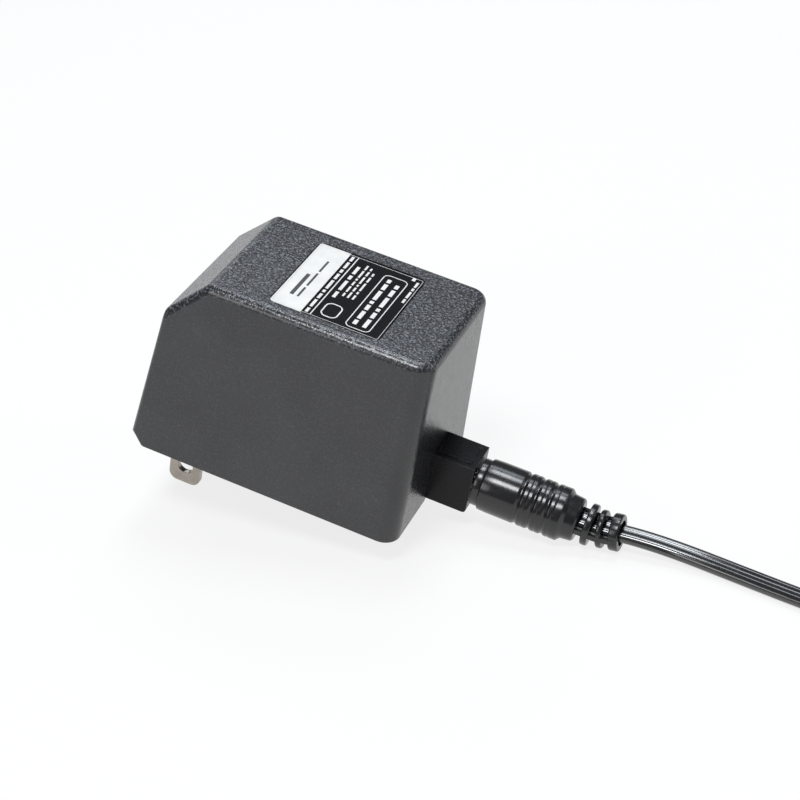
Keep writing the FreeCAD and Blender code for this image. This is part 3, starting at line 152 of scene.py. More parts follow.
def smooth_line(points):
    """Points read from the smooth line that the given points steer."""
    data = bpy.data.curves.new("route", "CURVE")
    data.dimensions = "3D"
    data.resolution_u = 8
    spline = data.splines.new("NURBS")
    spline.points.add(len(points) - 1)
    for number, point in enumerate(points):
        spline.points[number].co = (point[0], point[1], point[2], 1.0)
    spline.order_u = 3
    spline.use_endpoint_u = True
    holder = bpy.data.objects.new("route", data)
    mesh = bpy.data.meshes.new_from_object(holder)
    line = [vertex.co.copy() for vertex in mesh.vertices]
    bpy.data.objects.remove(holder)
    bpy.data.curves.remove(data)
    bpy.data.meshes.remove(mesh)
    return line


def new_object(name, mesh_builder, smooth=True):
    """A mesh object that a builder function fills in."""
    mesh = bpy.data.meshes.new(name)
    builder = bmesh.new()
    mesh_builder(builder)
    bmesh.ops.recalc_face_normals(builder, faces=builder.faces)
    builder.to_mesh(mesh)
    builder.free()
    for polygon in mesh.polygons:
        polygon.use_smooth = smooth
    result = bpy.data.objects.new(name, mesh)
    bpy.context.collection.objects.link(result)
    return result


def crisp(piece, angle):
    """Smooth shading with the edges above an angle, in degrees, kept sharp."""
    piece.data.set_sharp_from_angle(angle=math.radians(angle))


# ---- materials ----
class Shader:
    """A node material around one Principled shader, with its texture place in object axes."""

    def __init__(self, name, colour, roughness, metallic=0.0, specular=0.5):
        self.material = bpy.data.materials.new(name)
        self.material.use_nodes = True
        self.tree = self.material.node_tree
        self.shader = self.tree.nodes["Principled BSDF"]
        self.set("Base Color", (*colour, 1.0))
        self.set("Roughness", roughness)
        self.set("Metallic", metallic)
        self.set("Specular IOR Level", specular)
        self.place = self.node("ShaderNodeTexCoord").outputs["Object"]
        self.normal = None

    def set(self, socket, amount):
        self.shader.inputs[socket].default_value = amount

    def node(self, kind, **settings):
        made = self.tree.nodes.new(kind)
        for key, amount in settings.items():
            setattr(made, key, amount)
        return made

    def link(self, start, end):
        self.tree.links.new(start, end)

    def product(self, first, second):
        """Two sockets multiplied."""
        times = self.node("ShaderNodeMath", operation="MULTIPLY")
        self.link(first, times.inputs[0])
        self.link(second, times.inputs[1])
        return times.outputs[0]

    def noise(self, grain, detail=2.0, stretch=None, rough=0.5):
        """Noise whose grains are about the given size in metres."""
        texture = self.node("ShaderNodeTexNoise")
        texture.inputs["Scale"].default_value = 1.0 / grain
        texture.inputs["Detail"].default_value = detail
        texture.inputs["Roughness"].default_value = rough
        if stretch is not None:
            mapping = self.node("ShaderNodeMapping")
            mapping.inputs["Scale"].default_value = stretch
            self.link(self.place, mapping.inputs["Vector"])
            self.link(mapping.outputs["Vector"], texture.inputs["Vector"])
        else:
            self.link(self.place, texture.inputs["Vector"])
        return texture.outputs["Fac"]

    def range(self, source, low, high, start=0.3, end=0.7):
        """The source between start and end, spread from low to high."""
        ramp = self.node("ShaderNodeMapRange")
        ramp.inputs["From Min"].default_value = start
        ramp.inputs["From Max"].default_value = end
        ramp.inputs["To Min"].default_value = low
        ramp.inputs["To Max"].default_value = high
        self.link(source, ramp.inputs["Value"])
        return ramp.outputs["Result"]

    def mix(self, factor, first, second):
        """Colours blended by a factor; each is a colour or a socket."""
        blend = self.node("ShaderNodeMix", data_type="RGBA")
        self.link(factor, blend.inputs["Factor"])
        for socket, amount in ((blend.inputs[6], first), (blend.inputs[7], second)):
            if isinstance(amount, tuple):
                socket.default_value = (*amount, 1.0)
            else:
                self.link(amount, socket)
        return blend.outputs[2]

    def paint(self, source):
        self.link(source, self.shader.inputs["Base Color"])

    def gloss(self, source):
        self.link(source, self.shader.inputs["Roughness"])

    def bump(self, source, height, strength=1.0):
        """Adds relief of the given height in metres on top of what is there."""
        relief = self.node("ShaderNodeBump")
        if isinstance(strength, float):
            relief.inputs["Strength"].default_value = strength
        else:
            self.link(strength, relief.inputs["Strength"])
        relief.inputs["Distance"].default_value = height
        self.link(source, relief.inputs["Height"])
        if self.normal is not None:
            self.link(self.normal, relief.inputs["Normal"])
        self.normal = relief.outputs["Normal"]
        self.link(self.normal, self.shader.inputs["Normal"])

    def edges(self, radius):
        """1 along the edges of the shape, 0 on its open faces."""
        rounding = self.node("ShaderNodeBevel", samples=6)
        rounding.inputs["Radius"].default_value = radius
        geometry = self.node("ShaderNodeNewGeometry")
        product = self.node("ShaderNodeVectorMath", operation="DOT_PRODUCT")
        self.link(rounding.outputs["Normal"], product.inputs[0])
        self.link(geometry.outputs["Normal"], product.inputs[1])
        return self.range(product.outputs["Value"], 1.0, 0.0, 0.80, 0.995)


def shade(colour, factor):
    """A lighter or darker version of a colour."""
    return tuple(part * factor for part in colour)


def moulded(
    name, colour, roughness, grain=0.0004, height=0.00001, wear_and_highlight=0.25, specular=0.5, edge=2.6,
):
    """Moulded plastic: fine grain, faint mottling and lighter edges: slight rubbed wear, and where
    made strong, a painted highlight.
    """
    look = Shader(name, colour, roughness, specular=specular)
    mottle = look.noise(0.009, 3.0)
    fine = look.noise(grain, 3.0, rough=0.6)
    tone = look.mix(look.range(mottle, 0.0, 1.0), shade(colour, 0.85), shade(colour, 1.15))
    # Lighter edges: rubbed wear, and where strong, as on the jack, a painted highlight along the
    # edges.
    if wear_and_highlight > 0:
        breaks = look.range(look.noise(0.0025, 4.0), 0.0, wear_and_highlight, 0.35, 0.65)
        tone = look.mix(look.product(look.edges(0.0003), breaks), tone, shade(colour, edge))
    look.paint(tone)
    look.gloss(look.range(fine, roughness * 0.86, roughness * 1.16))
    look.bump(fine, height)
    return look.material


def metal(name, colour, roughness, stretch=(1, 1, 1)):
    """Plated or drawn metal: brushed streaks, tarnish patches, lighter edges."""
    look = Shader(name, colour, roughness, metallic=1.0)
    patch = look.noise(0.004, 4.0)
    streak = look.noise(0.0006, 2.0, stretch)
    tone = look.mix(look.range(patch, 0.0, 1.0, 0.35, 0.7), colour, shade(colour, 0.7))
    tone = look.mix(look.edges(0.0002), tone, shade(colour, 1.12))
    look.paint(tone)
    look.gloss(look.range(streak, roughness * 0.75, roughness * 1.35))
    look.bump(streak, 0.000004)
    return look.material


COVER_MEAN = (0.020, 0.0205, 0.022)
COVER_DARK = (0.015, 0.0152, 0.0167)
COVER_LIGHT = (0.024, 0.0244, 0.0266)
# Pale specks on what faces up: a painted sparkle of light from above.
COVER_PAINTED_SPARKLE = (0.200, 0.213, 0.245)
COVER_RUBBED = (0.120, 0.123, 0.135)


def textured_black():
    """Spark-eroded mould texture of the cover: black plastic whose grain sparkles by its bumps and
    by pale specks, a painted sparkle on what faces up.
    """
    look = Shader("cover_plastic", COVER_MEAN, 0.25, specular=0.68)
    # The grain is deep on the top and the ends and shallow on the two long walls, and the pale
    # specks, a painted sparkle of the light from above, are only on what faces up.
    parts = look.node("ShaderNodeSeparateXYZ")
    look.link(look.node("ShaderNodeTexCoord").outputs["Normal"], parts.inputs["Vector"])
    slope = look.node("ShaderNodeMath", operation="ABSOLUTE")
    look.link(parts.outputs["Y"], slope.inputs[0])
    depth = look.range(slope.outputs[0], 1.0, 0.15, 0.25, 0.90)
    fine = look.noise(0.00050, 2.0, rough=0.6)
    coarse = look.noise(0.0010, 2.0, rough=0.5)
    broad = look.noise(0.012, 3.0)
    tone = look.mix(look.range(broad, 0.0, 1.0), COVER_DARK, COVER_LIGHT)
    facing_up = look.range(parts.outputs["Z"], 0.03, 1.0, 0.05, 0.80)
    painted_sparkle = look.product(look.range(fine, 0.0, 1.0, 0.50, 0.68), facing_up)
    tone = look.mix(painted_sparkle, tone, COVER_PAINTED_SPARKLE)
    breaks = look.range(look.noise(0.002, 4.0), 0.0, 0.30, 0.4, 0.65)
    look.paint(look.mix(look.product(look.edges(0.0003), breaks), tone, COVER_RUBBED))
    look.gloss(look.range(coarse, 0.20, 0.27))
    look.bump(coarse, 0.00005, depth)
    look.bump(fine, 0.00010, depth)
    return look.material


CORD_DARK = (0.009, 0.009, 0.010)
CORD_DUSTY = (0.022, 0.022, 0.024)


def cord_skin():
    """Glossy cord jacket with slight waves and dust."""
    look = Shader("cord_skin", CORD_DARK, 0.16, specular=0.8)
    look.set("Coat Weight", 0.60)
    look.set("Coat Roughness", 0.10)
    wave = look.noise(0.006, 2.0)
    dust = look.noise(0.0007, 3.0)
    look.paint(look.mix(look.range(dust, 0.0, 1.0, 0.5, 0.8), CORD_DARK, CORD_DUSTY))
    look.gloss(look.range(wave, 0.12, 0.20))
    look.bump(wave, 0.00005, 0.5)
    look.bump(dust, 0.000004, 0.6)
    return look.material


def printed(name, colour):
    """Ink or film of a printed label: slight paper tooth and ink density."""
    look = Shader(name, colour, 0.20, specular=0.15)
    tooth = look.noise(0.00035, 3.0)
    density = look.noise(0.0035, 2.0)
    look.paint(look.mix(look.range(density, 0.0, 1.0), shade(colour, 0.93), shade(colour, 1.03)))
    look.gloss(look.range(tooth, 0.18, 0.23))
    look.bump(tooth, 0.000003)
    return look.material


def windings(name, colour, roughness, wire):
    """Turns of enamelled wire side by side; wire is its thickness in metres."""
    look = Shader(name, colour, roughness, metallic=0.85)
    wave = look.node("ShaderNodeTexWave", wave_type="BANDS", bands_direction="Z")
    wave.inputs["Scale"].default_value = 0.31 / wire
    wave.inputs["Distortion"].default_value = 0.3
    look.link(look.place, wave.inputs["Vector"])
    # Darker between the turns: painted shade in the grooves between the wires.
    look.paint(look.mix(wave.outputs["Fac"], shade(colour, 0.35), colour))
    look.gloss(look.range(look.noise(0.002), roughness * 0.8, roughness * 1.2))
    look.bump(wave.outputs["Fac"], wire * 0.4)
    return look.material


COVER = textured_black()
SMOOTH_BLACK = moulded(
    "plug_plastic", (0.011, 0.011, 0.0125), 0.21, grain=0.0008, height=0.000006, specular=0.62,
)
# The jack's strongly lighter edges are a painted highlight along its edges.
JACK_BLACK = moulded(
    "jack_plastic", (0.012, 0.012, 0.0135), 0.26, grain=0.0006, height=0.000006, specular=0.17,
    wear_and_highlight=1.0, edge=9.0,
)
BASE_BLACK = moulded("base_plastic", (0.036, 0.037, 0.040), 0.46, grain=0.0005, height=0.000020)
NICKEL = metal("blade_nickel", (0.42, 0.385, 0.34), 0.30, (1, 12, 12))
TIN = metal("contact_tin", (0.70, 0.69, 0.66), 0.25)
STEEL = metal("screw_steel", (0.55, 0.55, 0.56), 0.32)
ALUMINIUM = metal("spreader_aluminium", (0.75, 0.76, 0.77), 0.35, (20, 1, 1))
CORD_BLACK = cord_skin()
INK_BLACK = printed("label_black", (0.010, 0.010, 0.0115))
INK_WHITE = printed("label_white", (0.86, 0.86, 0.84))
INK_RULE = printed("label_grey", (0.10, 0.10, 0.11))
BOARD = moulded("board_laminate", (0.35, 0.24, 0.08), 0.45, grain=0.0003, height=0.000010, wear_and_highlight=0.0)
FERRITE = moulded("ferrite", (0.045, 0.045, 0.050), 0.55, grain=0.0003, height=0.000030)
BOBBIN = moulded("bobbin_nylon", (0.62, 0.60, 0.52), 0.40)
EPOXY = moulded("epoxy_case", (0.022, 0.022, 0.024), 0.42, grain=0.0003, height=0.000020)
FILM_RED = moulded("film_capacitor_case", (0.42, 0.055, 0.03), 0.30)
BOX_GREY = moulded("line_capacitor_case", (0.55, 0.45, 0.12), 0.38)
RESISTOR = moulded("resistor_lacquer", (0.32, 0.38, 0.42), 0.35)
WIRE_BLACK = moulded("lead_black", (0.02, 0.02, 0.02), 0.35)
WIRE_WHITE = moulded("lead_white", (0.65, 0.65, 0.62), 0.35)
COPPER = windings("winding_copper", (0.60, 0.24, 0.09), 0.30, 0.0005)
TAPE = moulded("winding_tape", (0.60, 0.48, 0.08), 0.30, grain=0.002, height=0.00002)
STRAP = moulded("tie_nylon", (0.020, 0.020, 0.021), 0.62, grain=0.0005, height=0.00006, wear_and_highlight=0.0)

NODE_LOOKS = {
    "housing_cover": COVER, "base_plate": BASE_BLACK, "rating_label": INK_BLACK,
    "neutral_blade": NICKEL, "line_blade": NICKEL, "case_screws": STEEL,
    "jack_body": JACK_BLACK, "jack_pin": TIN, "jack_sleeve_contact": TIN,
    "plug_insert": SMOOTH_BLACK, "plug_barrel": TIN, "plug_pin_socket": TIN,
    "plug_overmould": SMOOTH_BLACK, "circuit_board": BOARD,
    "core_lower": FERRITE, "core_upper": FERRITE, "bobbin": BOBBIN,
    "primary_winding": COPPER, "secondary_winding": TAPE, "heat_spreader": ALUMINIUM,
    "high_side_transistor": EPOXY, "low_side_transistor": EPOXY, "transistor_screws": STEEL,
    "drive_toroid": FERRITE, "drive_winding": COPPER, "choke_core": FERRITE,
    "choke_winding": COPPER, "bridge_rectifier": EPOXY, "input_fuse": EPOXY,
    "line_capacitor": BOX_GREY, "upper_bridge_capacitor": FILM_RED,
    "lower_bridge_capacitor": FILM_RED, "start_resistor": RESISTOR,
    "neutral_lead": WIRE_WHITE, "line_lead": WIRE_BLACK,
    "output_pin_lead": WIRE_WHITE, "output_sleeve_lead": WIRE_BLACK,
    "output_cord": CORD_BLACK, "cord_coil": CORD_BLACK, "coil_tie": STRAP,
    "socket_body": SMOOTH_BLACK, "socket_insert": JACK_BLACK, "socket_pin": TIN,
}


def dress(thing, material):
    """Gives every material slot of an object the same material."""
    slots = thing.data.materials
    if not len(slots):
        slots.append(material)
    for number in range(len(slots)):
        slots[number] = material


for node_name, material in NODE_LOOKS.items():
    dress(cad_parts[node_name], material)

# ---- softened edges on the solids that stay, as bevel widths in metres ----
SOFTENED = {
    "jack_body": 0.00045, "neutral_blade": 0.00015, "line_blade": 0.00015,
    "base_plate": 0.00015, "socket_insert": 0.00012, "plug_insert": 0.00020,
    "coil_tie": 0.00050,
}
WELD_GAP = 0.000002

for node_name in NODE_LOOKS:
    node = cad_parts[node_name]
    if node.hide_render:
        continue
    weld = node.modifiers.new("weld", "WELD")
    weld.merge_threshold = WELD_GAP
    if node_name in SOFTENED:
        bevel = node.modifiers.new("softened", "BEVEL")
        bevel.width = SOFTENED[node_name]
        bevel.segments = 3
        bevel.limit_method = "ANGLE"
        bevel.angle_limit = math.radians(40)
        bevel.harden_normals = False

# ---- cord ----
CORE_STEPS = 12
CORE_ARC = 236
VALLEY_HEIGHT = 0.60


def twin_section():
    """Outline of the flat twin cord: two round cores and a shallow valley between them."""
    radius = CORD_THICKNESS / 2
    offset = CORD_WIDTH / 2 - radius
    outline = []
    for side, first in ((1, -118), (-1, 62)):
        for number in range(CORE_STEPS + 1):
            angle = math.radians(first + CORE_ARC * number / CORE_STEPS)
            outline.append((side * offset + radius * math.cos(angle), radius * math.sin(angle)))
        outline.append((0.0, side * VALLEY_HEIGHT * radius))
    return outline


def twin_tube(line):
    """The cord's section carried along a line, its wide side kept level."""
    outline = twin_section()

    def build(builder):
        rings = []
        for number, point in enumerate(line):
            before = line[max(0, number - 1)]
            after = line[min(len(line) - 1, number + 1)]
            ahead = (after - before).normalized()
            side = Vector((0, 0, 1)).cross(ahead).normalized()
            top = ahead.cross(side).normalized()
            rings.append([
                builder.verts.new(point + side * across + top * rise) for across, rise in outline
            ])
        count = len(outline)
        for first, second in zip(rings, rings[1:]):
            for number in range(count):
                builder.faces.new((
                    first[number], first[(number + 1) % count],
                    second[(number + 1) % count], second[number],
                ))
        builder.faces.new(rings[0])
        builder.faces.new(rings[-1][::-1])

    return build


cord_line = smooth_line(CORD_ROUTE + coil_points() + rising_points())
cord = new_object("flat_cord", twin_tube(cord_line))
dress(cord, CORD_BLACK)

# ---- turned shapes: plug moulding and socket moulding ----
TURN_STEPS = 72


def eased(points, steps=4):
    """The outline with its corners rounded; a point is (along, radius, rounding)."""
    result = []
    count = len(points)
    for number in range(count):
        here = Vector(points[number][:2])
        rounding = points[number][2]
        before = Vector(points[number - 1][:2])
        after = Vector(points[(number + 1) % count][:2])
        inward = here - before
        outward = after - here
        if rounding <= 0:
            result.append((here.x, here.y))
            continue
        turn = inward.angle(outward)
        if turn < 0.02:
            result.append((here.x, here.y))
            continue
        trim = min(rounding * math.tan(turn / 2), 0.48 * inward.length, 0.48 * outward.length)
        start = here - inward.normalized() * trim
        end = here + outward.normalized() * trim
        for step in range(steps + 1):
            part = step / steps
            bezier = start * (1 - part) ** 2 + here * 2 * part * (1 - part) + end * part ** 2
            result.append((bezier.x, bezier.y))
    return result


def turned(builder, outline, place):
    """Revolves a closed outline of (along, radius); place turns (along, y, z) into a point."""
    rings = []
    for along, radius in outline:
        if radius < 1e-6:
            rings.append([builder.verts.new(place(along, 0.0, 0.0))])
            continue
        ring = []
        for step in range(TURN_STEPS):
            angle = 2 * math.pi * step / TURN_STEPS
            ring.append(builder.verts.new(
                place(along, radius * math.cos(angle), radius * math.sin(angle))
            ))
        rings.append(ring)
    count = len(rings)
    for number in range(count):
        first, second = rings[number], rings[(number + 1) % count]
        if len(first) == 1 and len(second) == 1:
            continue
        for step in range(TURN_STEPS):
            following = (step + 1) % TURN_STEPS
            if len(first) == 1:
                builder.faces.new((first[0], second[step], second[following]))
            elif len(second) == 1:
                builder.faces.new((first[step], second[0], first[following]))
            else:
                builder.faces.new((first[step], second[step], second[following], first[following]))


# The plug's axis in the supply's own axes, and the bend of its relief, in millimetres.
JACK_END = 74.95
PLUG_SIDE = 0.9
PLUG_HEIGHT = 7.075
BEND = math.radians(11.0)
BEND_START = 29.3


def plug_place(along, side, height):
    """Plug axes (millimetres from the jack's face) to the frame."""
    return seated(JACK_END + along, PLUG_SIDE + side, PLUG_HEIGHT + height)


def bent_place(along, side, height):
    """The part of the relief past its bend."""
    return plug_place(
        BEND_START + along * math.cos(BEND) - height * math.sin(BEND),
        side,
        along * math.sin(BEND) + height * math.cos(BEND),
    )


# Grip of the plug and of the socket, in millimetres.
GRIP_START = 2.16
GRIP_END = 21.0
GRIP_RADIUS = 6.1
GROOVE_DEPTH = 0.36
GROOVE_PITCH = 3.2
CREASE_DEPTH = 0.13


def groove(centre):
    """A round-edged groove around a grip."""
    return [
        (centre - 0.62, GRIP_RADIUS, 0.5),
        (centre - 0.12, GRIP_RADIUS - GROOVE_DEPTH, 0.12),
        (centre + 0.12, GRIP_RADIUS - GROOVE_DEPTH, 0.12),
        (centre + 0.62, GRIP_RADIUS, 0.5),
    ]


def crease(centre):
    """A fine line around a grip."""
    return [
        (centre - 0.20, GRIP_RADIUS, 0.1),
        (centre, GRIP_RADIUS - CREASE_DEPTH, 0.05),
        (centre + 0.20, GRIP_RADIUS, 0.1),
    ]


def grip_outline():
    """The plug's grip with three grooves, a crease after each, its collar and its bore."""
    outline = [(GRIP_START, 3.7, 0), (GRIP_START, GRIP_RADIUS - 0.12, 0.30)]
    outline.append((GRIP_START + 2.2, GRIP_RADIUS - 0.02, 2.0))
    for centre in (11.2, 14.4, 17.6):
        outline += groove(centre) + crease(centre + GROOVE_PITCH / 2)
    outline += [
        (GRIP_END, GRIP_RADIUS, 0.35),
        (21.9, 5.2, 0.25),
        (24.2, 4.98, 0.3),
        (24.65, 4.55, 0.3),
        (24.65, 3.0, 0),
        (12.4, 3.0, 0),
        (12.4, 3.7, 0),
    ]
    return eased(outline)


def ring_outline(start, end, radius, bore):
    """One ring of the slotted relief."""
    return eased([
        (start, bore, 0), (start, radius, 0.45), (end, radius, 0.45), (end, bore, 0),
    ], 5)


def bar(builder, corners, side, half_thick):
    """A bar along the relief: corners are (place, along, low, high)."""
    rows = []
    for place, along, low, high in corners:
        rows.append([
            builder.verts.new(place(along, side - half_thick, low)),
            builder.verts.new(place(along, side + half_thick, low)),
            builder.verts.new(place(along, side + half_thick, high)),
            builder.verts.new(place(along, side - half_thick, high)),
        ])
    for first, second in zip(rows, rows[1:]):
        for number in range(4):
            following = (number + 1) % 4
            builder.faces.new((first[number], first[following], second[following], second[number]))
    builder.faces.new(rows[0])
    builder.faces.new(rows[-1][::-1])


# Rings of the relief as (place, start, end, radius, bore) and the points of its two bars as
# (place, along), in millimetres.
RELIEF_RINGS = (
    (plug_place, 26.3, 27.9, 4.8, 3.0),
    (bent_place, 0.1, 1.4, 4.3, 3.0),
    (bent_place, 3.0, 5.2, 4.2, 2.9),
)
BAR_POINTS = ((plug_place, 23.9), (plug_place, BEND_START), (bent_place, 4.4))
BAR_SIDE = 3.9
BAR_HALF_THICK = 0.4
BAR_HALF_HIGH = 0.6


def plug_moulding(builder):
    """Grip, three rings of the relief and the two bars that carry them."""
    turned(builder, grip_outline(), plug_place)
    for place, *sizes in RELIEF_RINGS:
        turned(builder, ring_outline(*sizes), place)
    for sign in (-1, 1):
        corners = [(*point, -BAR_HALF_HIGH, BAR_HALF_HIGH) for point in BAR_POINTS]
        bar(builder, corners, sign * BAR_SIDE, BAR_HALF_THICK)


plug = new_object("plug_moulding", plug_moulding)
crisp(plug, 50)
dress(plug, SMOOTH_BLACK)


def socket_place(along, side, height):
    """Socket axes (millimetres from the cord's end) to the frame."""
    return Vector((
        SOCKET_START[0] + side * MM, SOCKET_START[1] + along * MM, SOCKET_START[2] + height * MM,
    ))


def socket_outline():
    """The far socket: a short stepped relief, a grip with three grooves and the bore."""
    outline = [(0.0, 2.9, 0), (0.0, 3.6, 0.3), (2.0, 3.8, 0.5), (2.0, 4.5, 0.3)]
    for start in (2.0, 4.4):
        outline += [
            (start + 1.2, 4.5, 0.3), (start + 1.2, 3.9, 0.15),
            (start + 2.4, 3.9, 0.15), (start + 2.4, 4.8, 0.3),
        ]
    outline += [(8.4, 5.15, 0.3), (9.2, GRIP_RADIUS, 0.35)]
    for centre in (13.0, 16.2, 19.4):
        outline += groove(centre)
    outline += [(30.0, GRIP_RADIUS, 0.35), (30.0, 4.25, 0.12), (18.2, 4.25, 0), (18.2, 0.0, 0)]
    outline += [(1.0, 0.0, 0), (1.0, 2.9, 0)]
    return eased(outline)


def socket_moulding(builder):
    turned(builder, socket_outline(), socket_place)


socket = new_object("socket_moulding", socket_moulding)
crisp(socket, 50)
dress(socket, SMOOTH_BLACK)

# ---- label print: fields and plain bars a hair above the label's plate ----
LABEL_LOW = (25.65, -13.85)
LABEL_HIGH = (51.05, 12.45)
LABEL_LEVEL = 44.95
PRINT_THICKNESS = 0.02


def label_point(along, across, rise):
    """A share of the label's length and width to the frame."""
    return seated(
        LABEL_LOW[0] + along * (LABEL_HIGH[0] - LABEL_LOW[0]),
        LABEL_LOW[1] + across * (LABEL_HIGH[1] - LABEL_LOW[1]),
        LABEL_LEVEL + rise,
    )


def slab(builder, outline, rise=PRINT_THICKNESS):
    """A thin plate over a closed outline of label shares, rise in millimetres."""
    low = [builder.verts.new(label_point(u, v, 0.0)) for u, v in outline]
    high = [builder.verts.new(label_point(u, v, rise)) for u, v in outline]
    builder.faces.new(low[::-1])
    builder.faces.new(high)
    count = len(outline)
    for number in range(count):
        following = (number + 1) % count
        builder.faces.new((low[number], low[following], high[following], high[number]))


def field(u0, v0, u1, v1):
    """The outline of a rectangle on the label."""
    return [(u0, v0), (u1, v0), (u1, v1), (u0, v1)]


def frame_line(builder, u0, v0, u1, v1, corner, width):
    """A rounded outline; its corner radius and line width are in millimetres."""
    length = LABEL_HIGH[0] - LABEL_LOW[0]
    breadth = LABEL_HIGH[1] - LABEL_LOW[1]
    loops = []
    for inset in (0.0, width):
        loop = []
        radius = corner - inset
        for cu, cv, first in (
            (u1 * length - corner, v1 * breadth - corner, 0),
            (u0 * length + corner, v1 * breadth - corner, 90),
            (u0 * length + corner, v0 * breadth + corner, 180),
            (u1 * length - corner, v0 * breadth + corner, 270),
        ):
            for step in range(7):
                angle = math.radians(first + 15 * step)
                loop.append(((cu + radius * math.cos(angle)) / length,
                             (cv + radius * math.sin(angle)) / breadth))
        loops.append(loop)
    outside, inside = loops
    count = len(outside)
    levels = [[[builder.verts.new(label_point(u, v, level)) for u, v in loop]
               for loop in (outside, inside)] for level in (0.0, PRINT_THICKNESS)]
    (low_out, low_in), (high_out, high_in) = levels
    around = (high_out, high_in, low_in, low_out, high_out)
    for number in range(count):
        following = (number + 1) % count
        for one, other in zip(around, around[1:]):
            builder.faces.new((one[number], one[following], other[following], other[number]))


def dashes(u, v0, v1, width, pattern):
    """A row of plain bars between v0 and v1; pattern is bar and gap lengths in turn."""
    total = sum(pattern)
    bars = []
    position = v0
    for number, share in enumerate(pattern):
        step = share / total * (v1 - v0)
        if number % 2 == 0:
            bars.append(field(u - width / 2, position, u + width / 2, position + step))
        position += step
    return bars


# Bars and gaps of a row, in turn.
FINE = (5, 2, 9, 2, 6, 2, 3, 2, 11, 2, 7, 2, 4, 2, 8, 2, 6)
SHORT = (6, 2, 10, 2, 4, 2, 8)
SINGLE = (1,)
# Fields as (u0, v0, u1, v1): the white end of the label and a rule beside it.
WHITE_FIELDS = ((0.0, 0.0, 0.29, 1.0), (0.366, 0.02, 0.376, 0.98))
# Rows of bars as (u, v0, v1, width, pattern).
WHITE_ROWS = (
    (0.328, 0.03, 0.97, 0.026, FINE),
    (0.430, 0.34, 0.86, 0.030, SHORT),
    (0.490, 0.40, 0.92, 0.018, FINE[:11]),
    (0.535, 0.40, 0.90, 0.018, FINE[2:13]),
    (0.580, 0.40, 0.84, 0.018, FINE[4:13]),
    (0.735, 0.10, 0.84, 0.036, FINE[:13]),
    (0.825, 0.10, 0.80, 0.036, FINE[2:13]),
    (0.905, 0.94, 0.99, 0.030, SINGLE),
    (0.955, 0.60, 0.94, 0.022, SHORT),
)
# Rounded outlines as (u0, v0, u1, v1, corner, width).
WHITE_OUTLINES = (
    (0.665, 0.045, 0.890, 0.90, 1.3, 0.22),
    (0.425, 0.06, 0.580, 0.26, 1.5, 0.30),
    (0.012, 0.012, 0.988, 0.988, 0.5, 0.10),
)
DARK_ROWS = (
    (0.115, 0.18, 0.52, 0.035, SINGLE),
    (0.175, 0.18, 0.78, 0.020, (5, 1, 7, 1, 6)),
)
DARK_THICKNESS = PRINT_THICKNESS * 1.6


def white_print(builder):
    """The white field, a rule, the rows of bars and three rounded outlines."""
    for corners in WHITE_FIELDS:
        slab(builder, field(*corners))
    for row in WHITE_ROWS:
        for outline in dashes(*row):
            slab(builder, outline)
    for sizes in WHITE_OUTLINES:
        frame_line(builder, *sizes)


def dark_print(builder):
    """Grey bars on the white field."""
    for row in DARK_ROWS:
        for outline in dashes(*row):
            slab(builder, outline, DARK_THICKNESS)


white_fields = new_object("label_white_print", white_print, smooth=False)
dress(white_fields, INK_WHITE)
dark_fields = new_object("label_dark_print", dark_print, smooth=False)
dress(dark_fields, INK_RULE)

# ---- what each piece belongs to ----
for piece, slot_name in (
    (cord, "cord"), (plug, "plug_plastic"), (socket, "plug_plastic"),
    (white_fields, "label"), (dark_fields, "label"),
):
    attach(piece, "root")
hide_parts("output_cord", "cord_coil")
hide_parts("plug_overmould")
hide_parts("socket_body")

# ---- floor, light and surroundings ----
FLOOR_REACH = 40.0
FLOOR_COLOUR = (0.95, 0.95, 0.95, 1.0)
# How much of the floor is plain white to the rays that show it; the rest carries the shadow.
FLOOR_GLOW = 0.80
AMBIENT_STRENGTH = 0.18
COOL = (0.93, 0.96, 1.0)


def only_seen(tree):
    """1 for camera, glossy and transmission rays."""
    path = tree.nodes.new("ShaderNodeLightPath")
    first = tree.nodes.new("ShaderNodeMath")
    first.operation = "MAXIMUM"
    tree.links.new(path.outputs["Is Camera Ray"], first.inputs[0])
    tree.links.new(path.outputs["Is Glossy Ray"], first.inputs[1])
    second = tree.nodes.new("ShaderNodeMath")
    second.operation = "MAXIMUM"
    tree.links.new(first.outputs[0], second.inputs[0])
    tree.links.new(path.outputs["Is Transmission Ray"], second.inputs[1])
    return second.outputs[0]


def floor_material():
    """A pale matt floor that looks white and keeps the object's shadow."""
    material = bpy.data.materials.new("pale_floor")
    material.use_nodes = True
    tree = material.node_tree
    shader = tree.nodes["Principled BSDF"]
    shader.inputs["Base Color"].default_value = FLOOR_COLOUR
    shader.inputs["Roughness"].default_value = 0.9
    shader.inputs["Specular IOR Level"].default_value = 0.0
    glow = tree.nodes.new("ShaderNodeEmission")
    glow.inputs["Color"].default_value = (1.0, 1.0, 1.0, 1.0)
    glow.inputs["Strength"].default_value = 1.0
    share = tree.nodes.new("ShaderNodeMath")
    share.operation = "MULTIPLY"
    share.inputs[1].default_value = FLOOR_GLOW
    tree.links.new(only_seen(tree), share.inputs[0])
    mixer = tree.nodes.new("ShaderNodeMixShader")
    tree.links.new(share.outputs[0], mixer.inputs["Fac"])
    tree.links.new(shader.outputs["BSDF"], mixer.inputs[1])
    tree.links.new(glow.outputs["Emission"], mixer.inputs[2])
    tree.links.new(mixer.outputs["Shader"], tree.nodes["Material Output"].inputs["Surface"])
    return material


def floor_plane(builder):
    builder.faces.new([
        builder.verts.new((x * FLOOR_REACH, y * FLOOR_REACH, 0.0))
        for x, y in ((-1, -1), (1, -1), (1, 1), (-1, 1))
    ])


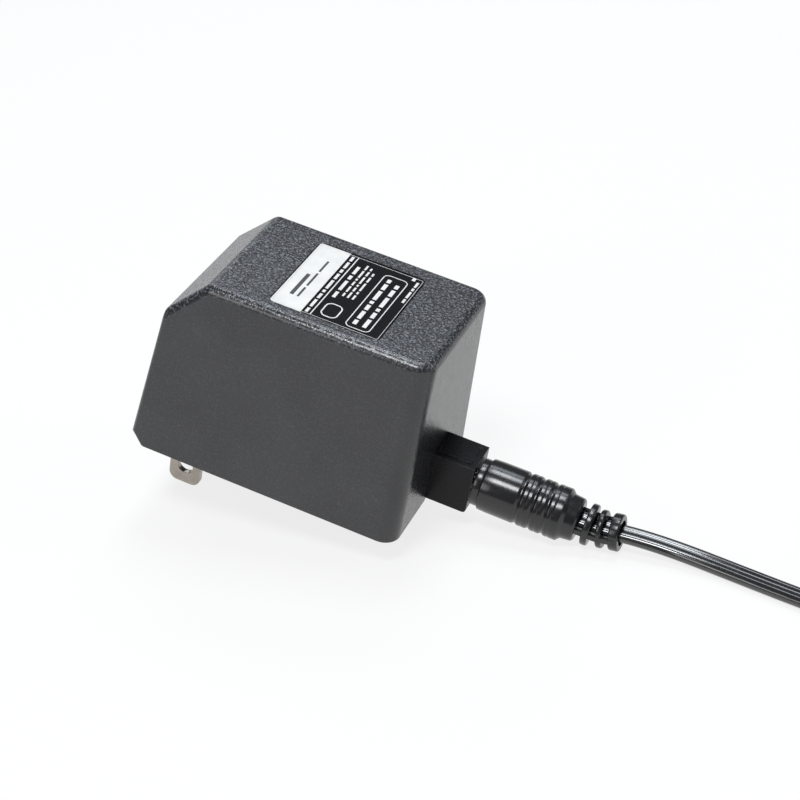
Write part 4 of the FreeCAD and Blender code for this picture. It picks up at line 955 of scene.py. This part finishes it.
floor = new_object("floor", floor_plane, smooth=False)
dress(floor, floor_material())

world = bpy.data.worlds.new("surroundings")
world.use_nodes = True
bpy.context.scene.world = world
ambient = world.node_tree.nodes["Background"]
ambient.inputs["Color"].default_value = (*COOL, 1.0)
ambient.inputs["Strength"].default_value = AMBIENT_STRENGTH

LIT_POINT = Vector((0.01, 0, 0.03))
# A lamp whose direction rises more than this hangs overhead.
OVERHEAD = 0.9
# Lamps as (name, direction from the object, distance, size, radiance, colour).
LAMPS = (
    ("key", (0.05, -0.44, 0.897), 1.0, (0.28, 0.25), 19.5, (0.98, 0.985, 1.0)),
    ("rear_key", (0.05, 0.25, 0.967), 1.0, (0.26, 0.28), 14.0, (0.90, 0.95, 1.0)),
    ("top", (-0.05, 0.585, 0.81), 1.1, (0.50, 0.22), 4.6, (0.86, 0.93, 1.0)),
    ("front", (-0.35, -0.80, 0.45), 1.2, (0.50, 0.50), 2.9, (1.0, 0.98, 0.98)),
    ("back", (-0.55, 0.62, 0.56), 1.2, (0.50, 0.50), 2.0, COOL),
    ("side", (0.95, 0.35, 0.55), 1.2, (0.50, 0.60), 1.5, COOL),
)


def softbox(name, direction, distance, size, radiance, colour):
    """A rectangular lamp at a distance in a direction from the object, facing it.

    The first size lies level. In a lamp nearly overhead it lies along the object's length.
    """
    data = bpy.data.lights.new(name, "AREA")
    data.shape = "RECTANGLE"
    data.size, data.size_y = size
    data.energy = radiance * size[0] * size[1] * math.pi
    data.color = colour
    lamp = bpy.data.objects.new(name, data)
    bpy.context.collection.objects.link(lamp)
    away = Vector(direction).normalized()
    level = Vector((0, 0, 1)).cross(away) if abs(away.z) < OVERHEAD else Vector((1, 0, 0))
    across = (level - away * level.dot(away)).normalized()
    turned_by = Matrix((across, away.cross(across), away)).transposed().to_4x4()
    lamp.matrix_world = Matrix.Translation(LIT_POINT + away * distance) @ turned_by


for lamp_row in LAMPS:
    softbox(*lamp_row)

# ---- view transform ----
bpy.context.scene.view_settings.view_transform = "Standard"
